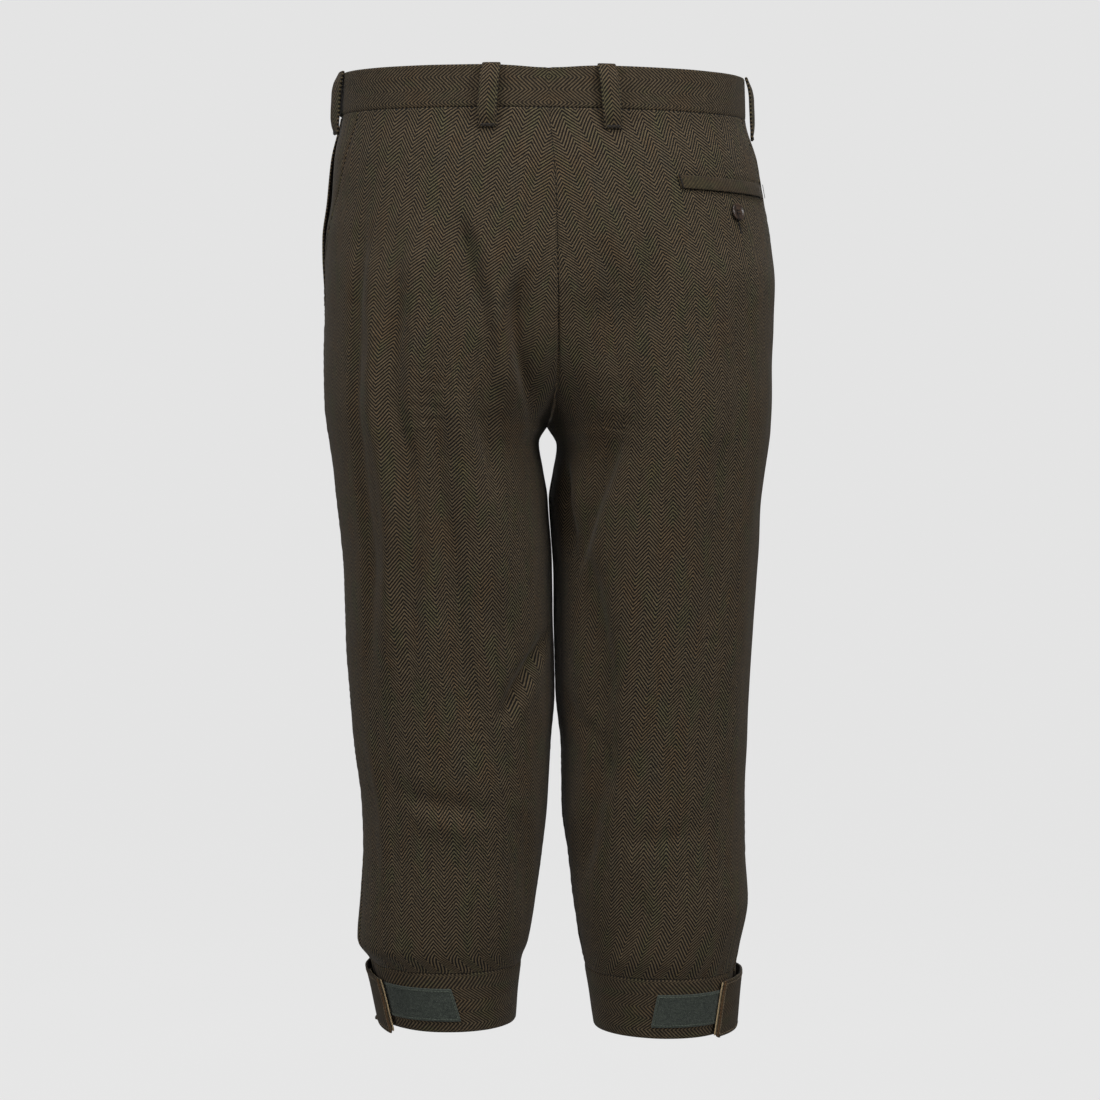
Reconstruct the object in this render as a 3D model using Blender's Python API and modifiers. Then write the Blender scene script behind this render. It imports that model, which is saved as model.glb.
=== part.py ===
"""Tweed knee breeches, filled out as if worn, with nobody inside.

Metres, +Z up.  The wearer faces -Y, so +X is the wearer's left.  The origin is the
centre of the waist ring, half way up the waistband.

One rule gives all the cloth: each side of the breeches is a ring at every height, an
oval that is cut off at the centre seam above the crotch and closes into a leg below it.
A place on it is a height and a distance round the ring from the outer side, + towards
the back.  Every panel, band, cuff, loop and pocket piece is a grid laid on that skin,
moved out or in from it, and given its wall.
"""
import math
from collections import namedtuple
from functools import lru_cache

import bmesh
import bpy
import numpy as np
from mathutils import Vector

MM = 0.001
LEFT = 1
RIGHT = -1
SIDES = ((LEFT, "left"), (RIGHT, "right"))

# --- driving sizes -----------------------------------------------------------------
BAND_HEIGHT = 35.0 * MM
WAIST_SEAM = -BAND_HEIGHT / 2
CROTCH = -277.5 * MM
CUFF_TOP = -739.0 * MM
CUFF_HEIGHT = 52.0 * MM
CUFF_BOTTOM = CUFF_TOP - CUFF_HEIGHT
VENT_TOP = -632.0 * MM
POCKET_LOW = -190.0 * MM

CLOTH = 1.6 * MM
BAND_CLOTH = 2.6 * MM
CUFF_CLOTH = 2.4 * MM
SEAM_GAP = 0.3 * MM
LAYER_GAP = 0.6 * MM

HIP_SLANT = 0.008
RIGHT_LEG_DROP = 6.5 * MM

# Rings: the height, the outer and inner edges of each side across the body (above the
# crotch both inner edges are the centre seam), how far the cloth stands behind and in
# front of the side line, how far the trunk has split into two legs, from 0 to 1, and
# how square the oval is (2 is a plain ellipse).
SECTION_COLUMNS = ("height", "left_out", "left_in", "right_in", "right_out",
                   "back", "front", "split", "square")
SECTIONS_MM = (
    (17.5, 172.5, 3.0, 3.0, -170.0, 120, 114, 0.00, 2.10),
    (-17.5, 174.5, 3.0, 3.0, -171.5, 124, 117, 0.00, 2.10),
    (-55.0, 181.0, 0.0, 0.0, -182.0, 133, 122, 0.04, 2.15),
    (-90.0, 183.5, -2.0, -2.0, -187.5, 139, 124, 0.08, 2.20),
    (-120.0, 187.0, -2.5, -2.5, -192.5, 142, 124, 0.14, 2.25),
    (-155.0, 187.2, -3.0, -3.0, -195.5, 143, 122, 0.22, 2.45),
    (-190.0, 187.5, -3.5, -3.5, -194.0, 141, 119, 0.35, 2.45),
    (-225.0, 188.3, -3.7, -3.7, -192.5, 138, 116, 0.55, 2.40),
    (-258.0, 188.0, -3.2, -3.2, -193.0, 133.5, 113, 0.85, 2.30),
    (-277.5, 186.3, -2.6, -2.6, -192.5, 131, 111, 1.00, 2.20),
    (-292.0, 184.3, -2.4, -3.4, -191.0, 129, 110, 1.00, 2.20),
    (-315.0, 181.0, -2.3, -4.2, -187.6, 126, 109, 1.00, 2.25),
    (-341.0, 178.0, -2.8, -5.0, -184.5, 122.5, 107, 1.00, 2.30),
    (-393.0, 173.0, -5.9, -7.2, -181.8, 115.5, 103, 1.00, 2.30),
    (-450.0, 171.3, -7.0, -7.9, -178.8, 108, 98, 1.00, 2.25),
    (-505.0, 168.0, -8.0, -9.2, -176.0, 101, 92, 1.00, 2.20),
    (-550.0, 164.5, -5.4, -14.0, -174.0, 95, 86, 1.00, 2.20),
    (-600.0, 158.2, -2.0, -15.0, -173.0, 89, 79, 1.00, 2.20),
    (-640.0, 156.7, 2.0, -19.6, -173.5, 84.5, 74, 1.00, 2.20),
    (-680.0, 158.7, 7.0, -24.5, -176.3, 80.5, 70, 1.00, 2.20),
    (-722.0, 162.0, 14.3, -31.3, -169.0, 75, 68, 1.00, 2.15),
    (-739.0, 151.0, 20.8, -35.2, -166.0, 69, 64, 1.00, 2.10),
    (-791.0, 139.0, 26.0, -43.0, -161.5, 61, 58, 1.00, 2.05),
)

# How far the inner half of each leg draws back from the other just under the fork.
OPENING_COLUMNS = ("height", "left", "right")
OPENING_MM = (
    (-277.5, 0.0, 0.0), (-292.0, 7.4, 7.0), (-315.0, 3.9, 3.0), (-341.0, 0.5, -0.8),
    (-393.0, 0.0, 0.0),
)

# Side seam: how far behind the outermost line it runs on each side.
SIDE_SEAM_COLUMNS = ("height", "left", "right")
SIDE_SEAM_MM = (
    (17.5, 62, 40), (-55.0, 56, 36), (-115.0, 32, 20), (-150.0, 12, 9), (-185.0, 7, 7),
    (-590.0, 7, 7), (-640.0, 12, 16), (-700.0, 18, 25), (-791.0, 20, 28),
)

# Largest folds: the side, the heights of the upper and lower end, the distances round
# the ring at the upper end, half way down and at the lower end, the half width, and how
# far the fold stands out (- is a trough).
Fold = namedtuple("Fold", ("side", "top", "bottom", "round_top", "round_middle",
                           "round_bottom", "half_width", "rise"))
FOLDS_MM = (
    (LEFT, -95, -280, 184, 220, 222, 14, -3.5),
    (LEFT, -160, -272, 249, 252, 278, 14, -5.0),
    (LEFT, -260, -560, 166, 152, 172, 18, -3.0),
    (LEFT, -452, -520, 258, 216, 190, 10, -5.0),
    (LEFT, -40, -620, 66, 98, 60, 13, 2.5),
    (LEFT, -90, -560, 112, 118, 78, 12, -2.5),
    (RIGHT, -110, -285, 198, 234, 268, 22, -4.5),
    (RIGHT, -300, -640, 240, 192, 196, 22, -3.0),
    (RIGHT, -150, -600, 70, 84, 66, 26, 2.5),
    (LEFT, -200, -480, -150, -140, -112, 20, 3.0),
    (RIGHT, -200, -490, -146, -142, -118, 20, 3.0),
    (LEFT, -190, -290, -232, -215, -200, 14, -3.5),
    (RIGHT, -185, -300, -236, -214, -196, 14, -3.5),
)
FOLD_END_SOFTNESS = 30.0 * MM

# Grid of each panel.
PANEL_COLUMNS = 12
EDGE_CROWDING = 0.4
TRUNK_ROWS = 6
SEAT_ROWS = 6
LEG_ROWS = 9
VENT_ROWS = 4
FORK = CROTCH - 9.0 * MM
RING_STEPS = 240
NORMAL_STEP = 1.0 * MM

# Waistband, whose top edge dips at the centre back, its front overlap and the fly.
CENTRE_DIP = 2.6 * MM
CENTRE_DIP_WIDTH = 28.0 * MM
WAIST_TAB_REACH = 38.0 * MM
WAIST_BUTTON_DIAMETER = 17.0 * MM
WAIST_BUTTON_IN = 20.0 * MM
FLY_LENGTH = 165.0 * MM
FLY_WIDTH = 36.0 * MM
FLY_OVERLAP = 8.0 * MM
FLY_CLOTH = 1.4 * MM
FLY_LIFT = 1.5 * MM

# Belt loops: the side, which seam the place is measured from, the distance from it, the
# clear gap behind the loop, and how much further its front edge stands off than its back.
LOOP_WIDTH = 15.5 * MM
LOOP_TOP = 19.0 * MM
LOOP_LENGTH = 54.0 * MM
LOOP_CLOTH = 2.2 * MM
LOOP_SPLAY = 4.5
BeltLoop = namedtuple("BeltLoop", ("name", "side", "seam", "from_seam", "gap", "twist"))
LOOPS_MM = (
    ("belt_loop_back_left", LEFT, "back", 46.5, 6.8, 0.0),
    ("belt_loop_back_right", RIGHT, "back", 46.5, 6.8, 0.0),
    ("belt_loop_side_left", LEFT, "side", 15.0, 5.4, 4.2),
    ("belt_loop_side_right", RIGHT, "side", 7.0, 5.6, 2.4),
    ("belt_loop_front_left", LEFT, "front", 72.0, 7.4, 0.0),
    ("belt_loop_front_right", RIGHT, "front", 72.0, 7.4, 0.0),
)
# How far along the loop, and how much of the gap it stands off there.
BOW_COLUMNS = ("along", "share")
BOW_SHARES = ((0.0, 0.06), (0.09, 0.42), (0.20, 0.82), (0.35, 1.0), (0.55, 1.0), (0.72, 0.93),
              (0.86, 0.62), (0.95, 0.2), (1.0, 0.07))
LOOP_STEPS = 10

# Slanted side pockets: the front's edge leaves the side seam and runs forward to here.
POCKET_MOUTH_TOP = -15.0 * MM
POCKET_UNDERLAP = 14.0 * MM
UNDER_DEPTH = 2.3 * MM
TUCKED_COLUMNS = 8

# Back pocket on the wearer's right.
WELT_INNER = 156.0 * MM
WELT_OUTER = 32.0 * MM
WELT_HEIGHT = 11.0 * MM
WELT_MIDDLE = -77.0 * MM
WELT_FALL = 3.0 * MM
WELT_CLOTH = 1.2 * MM
WELT_LIFT = 0.9 * MM
POCKET_BUTTON_DIAMETER = 14.5 * MM
POCKET_BUTTON_ROUND = 103.0 * MM
POCKET_BUTTON_HEIGHT = -98.5 * MM

# Side vents above the cuffs.
VENT_UNDERLAP = 22.0 * MM
VENT_SETBACK = 8.0 * MM
VENT_TAPER = 14.0 * MM

# Cuffs, their closing tabs and the two halves of the tape.
CUFF_LIFT = 0.5 * MM
CUFF_SLIT = 5.0 * MM
TAPE_HEIGHT = 29.0 * MM
TAPE_CLOTH = 1.0 * MM
TAPE_START = 12.0 * MM
HOOK_WIDTH = 30.0 * MM
HOOK_SHOWS = 0.8 * MM
TAB_CLOTH = 2.0 * MM
TAB_ROOT = -30.0 * MM
CuffDetail = namedtuple("CuffDetail", ("side", "tab_end", "tab_lift", "tab_fall", "tape_end"))
CUFF_DETAILS_MM = (
    (LEFT, 40, 1.8, 6, 104),
    (RIGHT, 54, 0.6, 2, 112),
)

# Colours, as Principled base colours.
TWEED = (0.042, 0.034, 0.022, 1.0)
TWEED_DARK = (0.032, 0.027, 0.019, 1.0)
LOOP_TAPE_GREEN = (0.030, 0.040, 0.031, 1.0)
TAPE_TAN = (0.42, 0.32, 0.19, 1.0)
BUTTON_BROWN = (0.055, 0.034, 0.022, 1.0)
FINISHES = {
    "tweed": (TWEED, 0.9),
    "tweed_dark": (TWEED_DARK, 0.9),
    "loop_tape": (LOOP_TAPE_GREEN, 0.85),
    "hook_tape": (TAPE_TAN, 0.7),
    "button": (BUTTON_BROWN, 0.35),
}


# --- tables --------------------------------------------------------------------------
def columns(names, rows):
    """A table as one array for each column name."""
    return {name: np.array([row[place] for row in rows], dtype=float)
            for place, name in enumerate(names)}


def numbers(names, rows):
    """A table whose columns are all lengths in millimetres, as metres, lowest row first."""
    return {name: values * MM for name, values in columns(names, sorted(rows)).items()}


def smooth(places, values, at):
    """A curve through the rows of a table that never swings past them."""
    step = np.diff(places)
    rise = np.diff(values) / step
    both = rise[1:] * rise[:-1]
    total = np.where(both > 0, rise[1:] + rise[:-1], 1.0)
    slope = np.concatenate([[rise[0]], np.where(both > 0, 2 * both / total, 0.0), [rise[-1]]])
    low = np.clip(np.searchsorted(places, at) - 1, 0, len(step) - 1)
    share = np.clip((at - places[low]) / step[low], 0.0, 1.0)
    ease = share * share * (3 - 2 * share)
    lead = share * (1 - share) ** 2 * slope[low] * step[low]
    trail = share * share * (1 - share) * slope[low + 1] * step[low]
    return values[low] * (1 - ease) + values[low + 1] * ease + lead - trail


def ease(share):
    """0 to 1 with a soft start and end."""
    share = np.clip(share, 0.0, 1.0)
    return share * share * (3 - 2 * share)


SECTIONS = numbers(SECTION_COLUMNS, SECTIONS_MM)
SECTIONS["split"] = SECTIONS["split"] / MM
SECTIONS["square"] = SECTIONS["square"] / MM
SIDE_SEAM = numbers(SIDE_SEAM_COLUMNS, SIDE_SEAM_MM)
OPENING = numbers(OPENING_COLUMNS, OPENING_MM)
FOLDS = [Fold(*values) for values in FOLDS_MM]


def section(name, height):
    return smooth(SECTIONS["height"], SECTIONS[name], height)


# --- the skin ------------------------------------------------------------------------
@lru_cache(maxsize=None)
def ring(side, height):
    """Distances round one side's ring at a height, with their places across and along."""
    out = section("left_out" if side == LEFT else "right_out", height)
    inner = section("left_in" if side == LEFT else "right_in", height)
    split = min(section("split", height), 1.0)
    square = section("square", height)
    half = abs(out - inner) / (1 + split)
    end = math.acos(-min(split ** (square / 2), 1.0))
    turn = np.linspace(-end, end, 2 * RING_STEPS + 1)
    reach = np.abs(np.cos(turn)) ** (2 / square) * np.sign(np.cos(turn))
    depth = np.abs(np.sin(turn)) ** (2 / square)
    depth = np.where(turn > 0, depth * section("back", height), -depth * section("front", height))
    across = inner + side * half * (split + reach)
    opening = smooth(OPENING["height"], OPENING["left" if side == LEFT else "right"], height)
    across = across + side * opening * ease(-reach)
    walk = np.concatenate([[0.0], np.cumsum(np.hypot(np.diff(across), np.diff(depth)))])
    return walk - walk[RING_STEPS], across, depth


def back_reach(side, height):
    """Distance from the outer line back to the centre seam, or to the inseam of a leg."""
    return ring(side, height)[0][-1]


def front_reach(side, height):
    return -ring(side, height)[0][0]


def side_seam(side, height):
    behind = SIDE_SEAM["left" if side == LEFT else "right"]
    return float(smooth(SIDE_SEAM["height"], behind, height))


def bare_point(side, height, distance):
    """A point of the skin with no folds; a leg's ring runs on past its inseam."""
    walk, across, depth = ring(side, height)
    if height <= CROTCH and distance > walk[-1]:
        distance -= walk[-1] - walk[0]
    x = float(np.interp(distance, walk, across))
    y = float(np.interp(distance, walk, depth))
    drop = RIGHT_LEG_DROP * height / CUFF_BOTTOM if side == RIGHT else 0.0
    return Vector((x, y, height + HIP_SLANT * x - drop))


def outward(side, height, distance):
    """The direction out of the cloth."""
    round_ring = (bare_point(side, height, distance + NORMAL_STEP)
                  - bare_point(side, height, distance - NORMAL_STEP))
    upward = (bare_point(side, height + NORMAL_STEP, distance)
              - bare_point(side, height - NORMAL_STEP, distance))
    return (round_ring.cross(upward) * side).normalized()


def fold_rise(side, height, distance):
    """How far the folds move the cloth out, for a place in metres."""
    total = 0.0
    for fold in FOLDS:
        if fold.side != side:
            continue
        length = (fold.top - fold.bottom) * MM
        share = (fold.top * MM - height) / length
        straight = fold.round_top + (fold.round_bottom - fold.round_top) * share
        bend = 2 * (2 * fold.round_middle - fold.round_top - fold.round_bottom)
        line = (straight + bend * share * (1 - share)) * MM
        off = (distance - line) / (fold.half_width * MM)
        ends = (ease(share * length / FOLD_END_SOFTNESS)
                * ease((1 - share) * length / FOLD_END_SOFTNESS))
        total += fold.rise * MM * ends * math.exp(-off * off)
    return total


def skin(side, height, distance, out=0.0):
    """A point on the worn cloth, moved out from it by a distance."""
    move = out + fold_rise(side, height, distance)
    return bare_point(side, height, distance) + outward(side, height, distance) * move


def front_place(height, from_seam):
    """The side and ring distance of a place at the front: + is to the wearer's left."""
    side = LEFT if from_seam >= 0 else RIGHT
    return side, -front_reach(side, height) + abs(from_seam)


# --- building ------------------------------------------------------------------------
def clear_scene():
    for old in list(bpy.data.objects):
        bpy.data.objects.remove(old, do_unlink=True)


def collection(name):
    made = bpy.data.collections.new(name)
    bpy.context.scene.collection.children.link(made)
    return made


def material(finish):
    """One Principled material for each object."""
    color, roughness = FINISHES[finish]
    made = bpy.data.materials.new(finish)
    made.use_nodes = True
    shader = made.node_tree.nodes["Principled BSDF"]
    shader.inputs["Base Color"].default_value = color
    shader.inputs["Roughness"].default_value = roughness
    shader.inputs["Metallic"].default_value = 0.0
    made.diffuse_color = color
    return made


def add_object(name, mesh, finish, parts):
    made = bpy.data.objects.new(name, mesh)
    mesh.materials.append(material(finish))
    parts.objects.link(made)
    return made


def face_out(grid, side, height, distance):
    """Turn the grid's faces to the outside of the cloth, judged at one place on it."""
    place = skin(side, height, distance)
    nearest = min(grid.faces, key=lambda face: (face.calc_center_median() - place).length)
    nearest.normal_update()
    if nearest.normal.dot(outward(side, height, distance)) < 0:
        bmesh.ops.reverse_faces(grid, faces=grid.faces[:])


def cloth(name, point, across, down, wall, finish, parts, facing):
    """A grid of cloth: point(u, v) for u and v from 0 to 1, thickened inwards.

    facing is the side, height and ring distance of a place that the piece covers.
    """
    grid = bmesh.new()
    bmesh.ops.create_grid(grid, x_segments=across, y_segments=down, size=0.5)
    for corner in grid.verts:
        u = round((corner.co.x + 0.5) * across) / across
        v = round((0.5 - corner.co.y) * down) / down
        corner.co = point(u, v)
    face_out(grid, *facing)
    mesh = bpy.data.meshes.new(name)
    grid.to_mesh(mesh)
    grid.free()
    mesh.shade_smooth()
    made = add_object(name, mesh, finish, parts)
    thick = made.modifiers.new("wall", "SOLIDIFY")
    thick.thickness = wall
    thick.offset = -1.0
    return made


def panel_heights():
    """Row heights of the leg panels, closer together round the crotch.

    The pocket's lower end and the vent's top are rows, so the pieces beside and behind
    the panels share the panels' own rows.
    """
    trunk = np.linspace(WAIST_SEAM - SEAM_GAP / 2, POCKET_LOW, TRUNK_ROWS + 1)
    seat = CROTCH + (POCKET_LOW - CROTCH) * np.linspace(1, 0, SEAT_ROWS + 1) ** 1.7
    legs = np.linspace(FORK, VENT_TOP, LEG_ROWS + 1)
    low = CUFF_TOP + SEAM_GAP / 2
    vent = low + (VENT_TOP - VENT_TAPER - low) * np.linspace(1, 0, VENT_ROWS + 1) ** 1.6
    return [float(height) for height in np.concatenate([trunk, seat[1:], legs, vent])]


HEIGHTS = panel_heights()
POCKET_HEIGHTS = HEIGHTS[:TRUNK_ROWS]
VENT_HEIGHTS = HEIGHTS[-VENT_ROWS - 1:]


def row(heights, v):
    """The height of a row of a grid, for v from 0 to 1."""
    return heights[round(v * (len(heights) - 1))]


def front_edge(side, height):
    """Outer edge of the front panel: the side seam, the pocket's slant or the vent."""
    seam = side_seam(side, height)
    if height > POCKET_LOW:
        rise = (height - POCKET_LOW) / (WAIST_SEAM - POCKET_LOW)
        low = side_seam(side, POCKET_LOW)
        return low + (POCKET_MOUTH_TOP - low) * rise
    return seam - VENT_SETBACK * float(ease((VENT_TOP - height) / VENT_TAPER))


def spread(u):
    """Closer columns at both edges of a panel, so that neighbours meet at one slope."""
    return u - EDGE_CROWDING * math.sin(2 * math.pi * u) / (2 * math.pi)


def back_panel(side, word, parts):
    """From the centre seam and inseam out to the side seam."""
    def point(u, v):
        height = row(HEIGHTS, v)
        inner = back_reach(side, height) - SEAM_GAP / 2
        outer = side_seam(side, height) + SEAM_GAP / 2
        return skin(side, height, outer + (inner - outer) * spread(u))
    middle = row(HEIGHTS, 0.5)
    facing = (side, middle, back_reach(side, middle) / 2)
    return cloth(f"back_{word}", point, PANEL_COLUMNS, len(HEIGHTS) - 1, CLOTH, "tweed",
                 parts, facing)


def front_panel(side, word, parts):
    """From the centre front seam and inseam out to the pocket edge and side seam."""
    def point(u, v):
        height = row(HEIGHTS, v)
        inner = -front_reach(side, height) + SEAM_GAP / 2
        outer = front_edge(side, height) - SEAM_GAP / 2
        return skin(side, height, outer + (inner - outer) * spread(u))
    middle = row(HEIGHTS, 0.5)
    facing = (side, middle, -front_reach(side, middle) / 2)
    return cloth(f"front_{word}", point, PANEL_COLUMNS, len(HEIGHTS) - 1, CLOTH, "tweed",
                 parts, facing)


def tucked(side, height, start, reach, sunk_by, u):
    """A place on a piece that leaves its seam level and then goes under the next panel."""
    flat = abs(reach) / TUCKED_COLUMNS
    sink = UNDER_DEPTH * float(ease((abs(reach) * u - flat) / (sunk_by - flat)))
    return skin(side, height, start + reach * u, -sink)


def pocket_facing(side, word, parts):
    """The cloth behind the slanted pocket mouth, from the side seam to under the front."""
    def point(u, v):
        height = row(POCKET_HEIGHTS, v)
        seam = side_seam(side, height) - SEAM_GAP / 2
        mouth = seam - front_edge(side, height)
        return tucked(side, height, seam, -(mouth + POCKET_UNDERLAP), mouth * 0.8, u)
    facing = (side, row(POCKET_HEIGHTS, 0.5), 0.0)
    return cloth(f"pocket_facing_{word}", point, TUCKED_COLUMNS, len(POCKET_HEIGHTS) - 1,
                 CLOTH, "tweed", parts, facing)


def vent_underlap(side, word, parts):
    """The front's extension under the back's edge at the side vent."""
    def point(u, v):
        height = row(VENT_HEIGHTS, v)
        start = front_edge(side, height) + SEAM_GAP / 2
        return tucked(side, height, start, VENT_SETBACK + VENT_UNDERLAP, VENT_SETBACK, u)
    facing = (side, VENT_HEIGHTS[0], side_seam(side, VENT_HEIGHTS[0]))
    return cloth(f"vent_underlap_{word}", point, TUCKED_COLUMNS, VENT_ROWS, CLOTH, "tweed",
                 parts, facing)


def waistband(side, word, parts):
    """Half of the waistband, from the centre back seam to the centre front."""
    high = BAND_HEIGHT / 2
    low = WAIST_SEAM + SEAM_GAP / 2

    def point(u, v):
        rear = back_reach(side, low) - SEAM_GAP / 2
        fore = -front_reach(side, low) + SEAM_GAP / 2
        dip = CENTRE_DIP * math.exp(-((rear - fore) * u / CENTRE_DIP_WIDTH) ** 2)
        height = high - dip + (low - high + dip) * v
        rear = back_reach(side, height) - SEAM_GAP / 2
        fore = -front_reach(side, height) + SEAM_GAP / 2
        return skin(side, height, rear + (fore - rear) * u)
    return cloth(f"waistband_{word}", point, 22, 1, BAND_CLOTH, "tweed", parts,
                 (side, 0.0, 0.0))


def waist_tab(parts):
    """The left end of the waistband, lapped over the right and buttoned."""
    high = BAND_HEIGHT / 2 - 0.5 * MM
    low = WAIST_SEAM + 0.5 * MM

    def point(u, v):
        height = high + (low - high) * v
        side, distance = front_place(height, -WAIST_TAB_REACH * u - 0.01 * MM)
        return skin(side, height, distance, LAYER_GAP + BAND_CLOTH)
    facing = (RIGHT, 0.0, -front_reach(RIGHT, 0.0) + WAIST_TAB_REACH / 2)
    return cloth("waist_tab", point, 4, 2, BAND_CLOTH, "tweed", parts, facing)


def fly_placket(parts):
    """The fly: a strip over the front seam, rounded at its lower end."""
    top = WAIST_SEAM - 1.0 * MM

    def point(u, v):
        height = top - FLY_LENGTH * v
        curve = math.sqrt(max(1 - max((v - 0.72) / 0.28, 0.0) ** 2, 0.0))
        width = 9 * MM + (FLY_WIDTH - 9 * MM) * curve
        side, distance = front_place(height, width * u - FLY_OVERLAP * (1 - u))
        return skin(side, height, distance, FLY_LIFT + FLY_CLOTH)
    facing = (LEFT, top - FLY_LENGTH / 2, -front_reach(LEFT, top - FLY_LENGTH / 2) + 15 * MM)
    return cloth("fly_placket", point, 5, 9, FLY_CLOTH, "tweed", parts, facing)


def loop_place(loop, height, down):
    """Ring distance of a belt loop's middle line, from its seam; loops splay downwards."""
    away = (loop.from_seam + LOOP_SPLAY * down) * MM
    if loop.seam == "back":
        return back_reach(loop.side, height) - away
    if loop.seam == "front":
        return -front_reach(loop.side, height) + away
    return loop.from_seam * MM


def belt_loop(loop, parts):
    """A strip that stands off the band and is sewn down at both ends."""
    bow = columns(BOW_COLUMNS, BOW_SHARES)

    def point(u, v):
        height = LOOP_TOP - LOOP_LENGTH * v
        stand = float(smooth(bow["along"], bow["share"], v)) * loop.gap * MM
        twist = loop.twist * MM * stand / (loop.gap * MM)
        distance = loop_place(loop, height, v) + LOOP_WIDTH * (u - 0.5)
        return skin(loop.side, height, distance, stand + twist * (0.5 - u) + LOOP_CLOTH)
    return cloth(loop.name, point, 2, LOOP_STEPS, LOOP_CLOTH, "tweed", parts,
                 (loop.side, 0.0, loop_place(loop, 0.0, 0.35)))


def back_welt(parts):
    """The single welt of the back pocket, only on the wearer's right."""
    def point(u, v):
        distance = WELT_INNER + (WELT_OUTER - WELT_INNER) * u
        height = WELT_MIDDLE - WELT_FALL * (u - 0.5) - WELT_HEIGHT * (v - 0.5)
        return skin(RIGHT, height, distance, WELT_LIFT + WELT_CLOTH)
    facing = (RIGHT, WELT_MIDDLE, (WELT_INNER + WELT_OUTER) / 2)
    return cloth("back_welt", point, 12, 2, WELT_CLOTH, "tweed_dark", parts, facing)


def cuff(side, word, parts):
    """The knee cuff, a band that is open at the outer side."""
    low = CUFF_BOTTOM
    high = CUFF_TOP - SEAM_GAP / 2

    def point(u, v):
        height = high + (low - high) * v
        around = back_reach(side, height) + front_reach(side, height)
        start = side_seam(side, height)
        return skin(side, height, start + (around - CUFF_SLIT) * u, CUFF_LIFT)
    return cloth(f"cuff_{word}", point, 26, 2, CUFF_CLOTH, "tweed", parts,
                 (side, CUFF_TOP, side_seam(side, CUFF_TOP) + back_reach(side, CUFF_TOP)))


def cuff_height(distance, v, fall, end, trim):
    """Height of a place on a tab that drops towards its end."""
    along = (distance - TAB_ROOT) / (end - TAB_ROOT)
    middle = CUFF_TOP - CUFF_HEIGHT / 2 - fall * along
    return middle + (CUFF_HEIGHT - trim) * (0.5 - v)


def cuff_tab(side, word, end, lift, fall, parts):
    """The tab from the front of the cuff, over the slit and on to the tape."""
    base = CUFF_LIFT + LAYER_GAP
    over = base + 2 * (TAPE_CLOTH + LAYER_GAP)

    def point(u, v):
        distance = TAB_ROOT + (end - TAB_ROOT) * u
        height = cuff_height(distance, v, fall, end, 2 * MM)
        climb = float(ease((distance - TAB_ROOT - 6 * MM) / (24 * MM)))
        stand = base + (over - base) * climb + lift * climb * max(distance / end, 0.0) ** 2
        return skin(side, height, distance, stand + TAB_CLOTH)
    facing = (side, CUFF_TOP - CUFF_HEIGHT / 2, (TAB_ROOT + end) / 2)
    return cloth(f"cuff_tab_{word}", point, 10, 3, TAB_CLOTH, "tweed_dark", parts, facing)


def hook_tape(side, word, end, lift, fall, parts):
    """The hooked half of the tape, sewn under the tab's end."""
    base = CUFF_LIFT + 2 * LAYER_GAP + TAPE_CLOTH
    start = end - HOOK_WIDTH

    def point(u, v):
        distance = start + (HOOK_WIDTH + HOOK_SHOWS) * u
        height = cuff_height(distance, v, fall, end, 6 * MM)
        stand = base + lift * (max(distance, 0.0) / end) ** 2
        return skin(side, height, distance, stand + TAPE_CLOTH)
    facing = (side, CUFF_TOP - CUFF_HEIGHT / 2, start + HOOK_WIDTH / 2)
    return cloth(f"hook_tape_{word}", point, 5, 3, TAPE_CLOTH, "hook_tape", parts, facing)


def loop_tape(side, word, end, parts):
    """The looped half of the tape, sewn on the back of the cuff."""
    middle = CUFF_TOP - CUFF_HEIGHT / 2 - 1 * MM

    start = side_seam(side, middle) + TAPE_START

    def point(u, v):
        distance = start + (end - start) * u
        height = middle + TAPE_HEIGHT * (0.5 - v)
        return skin(side, height, distance, CUFF_LIFT + LAYER_GAP + TAPE_CLOTH)
    facing = (side, middle, end / 2)
    return cloth(f"loop_tape_{word}", point, 12, 2, TAPE_CLOTH, "loop_tape", parts, facing)


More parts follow.
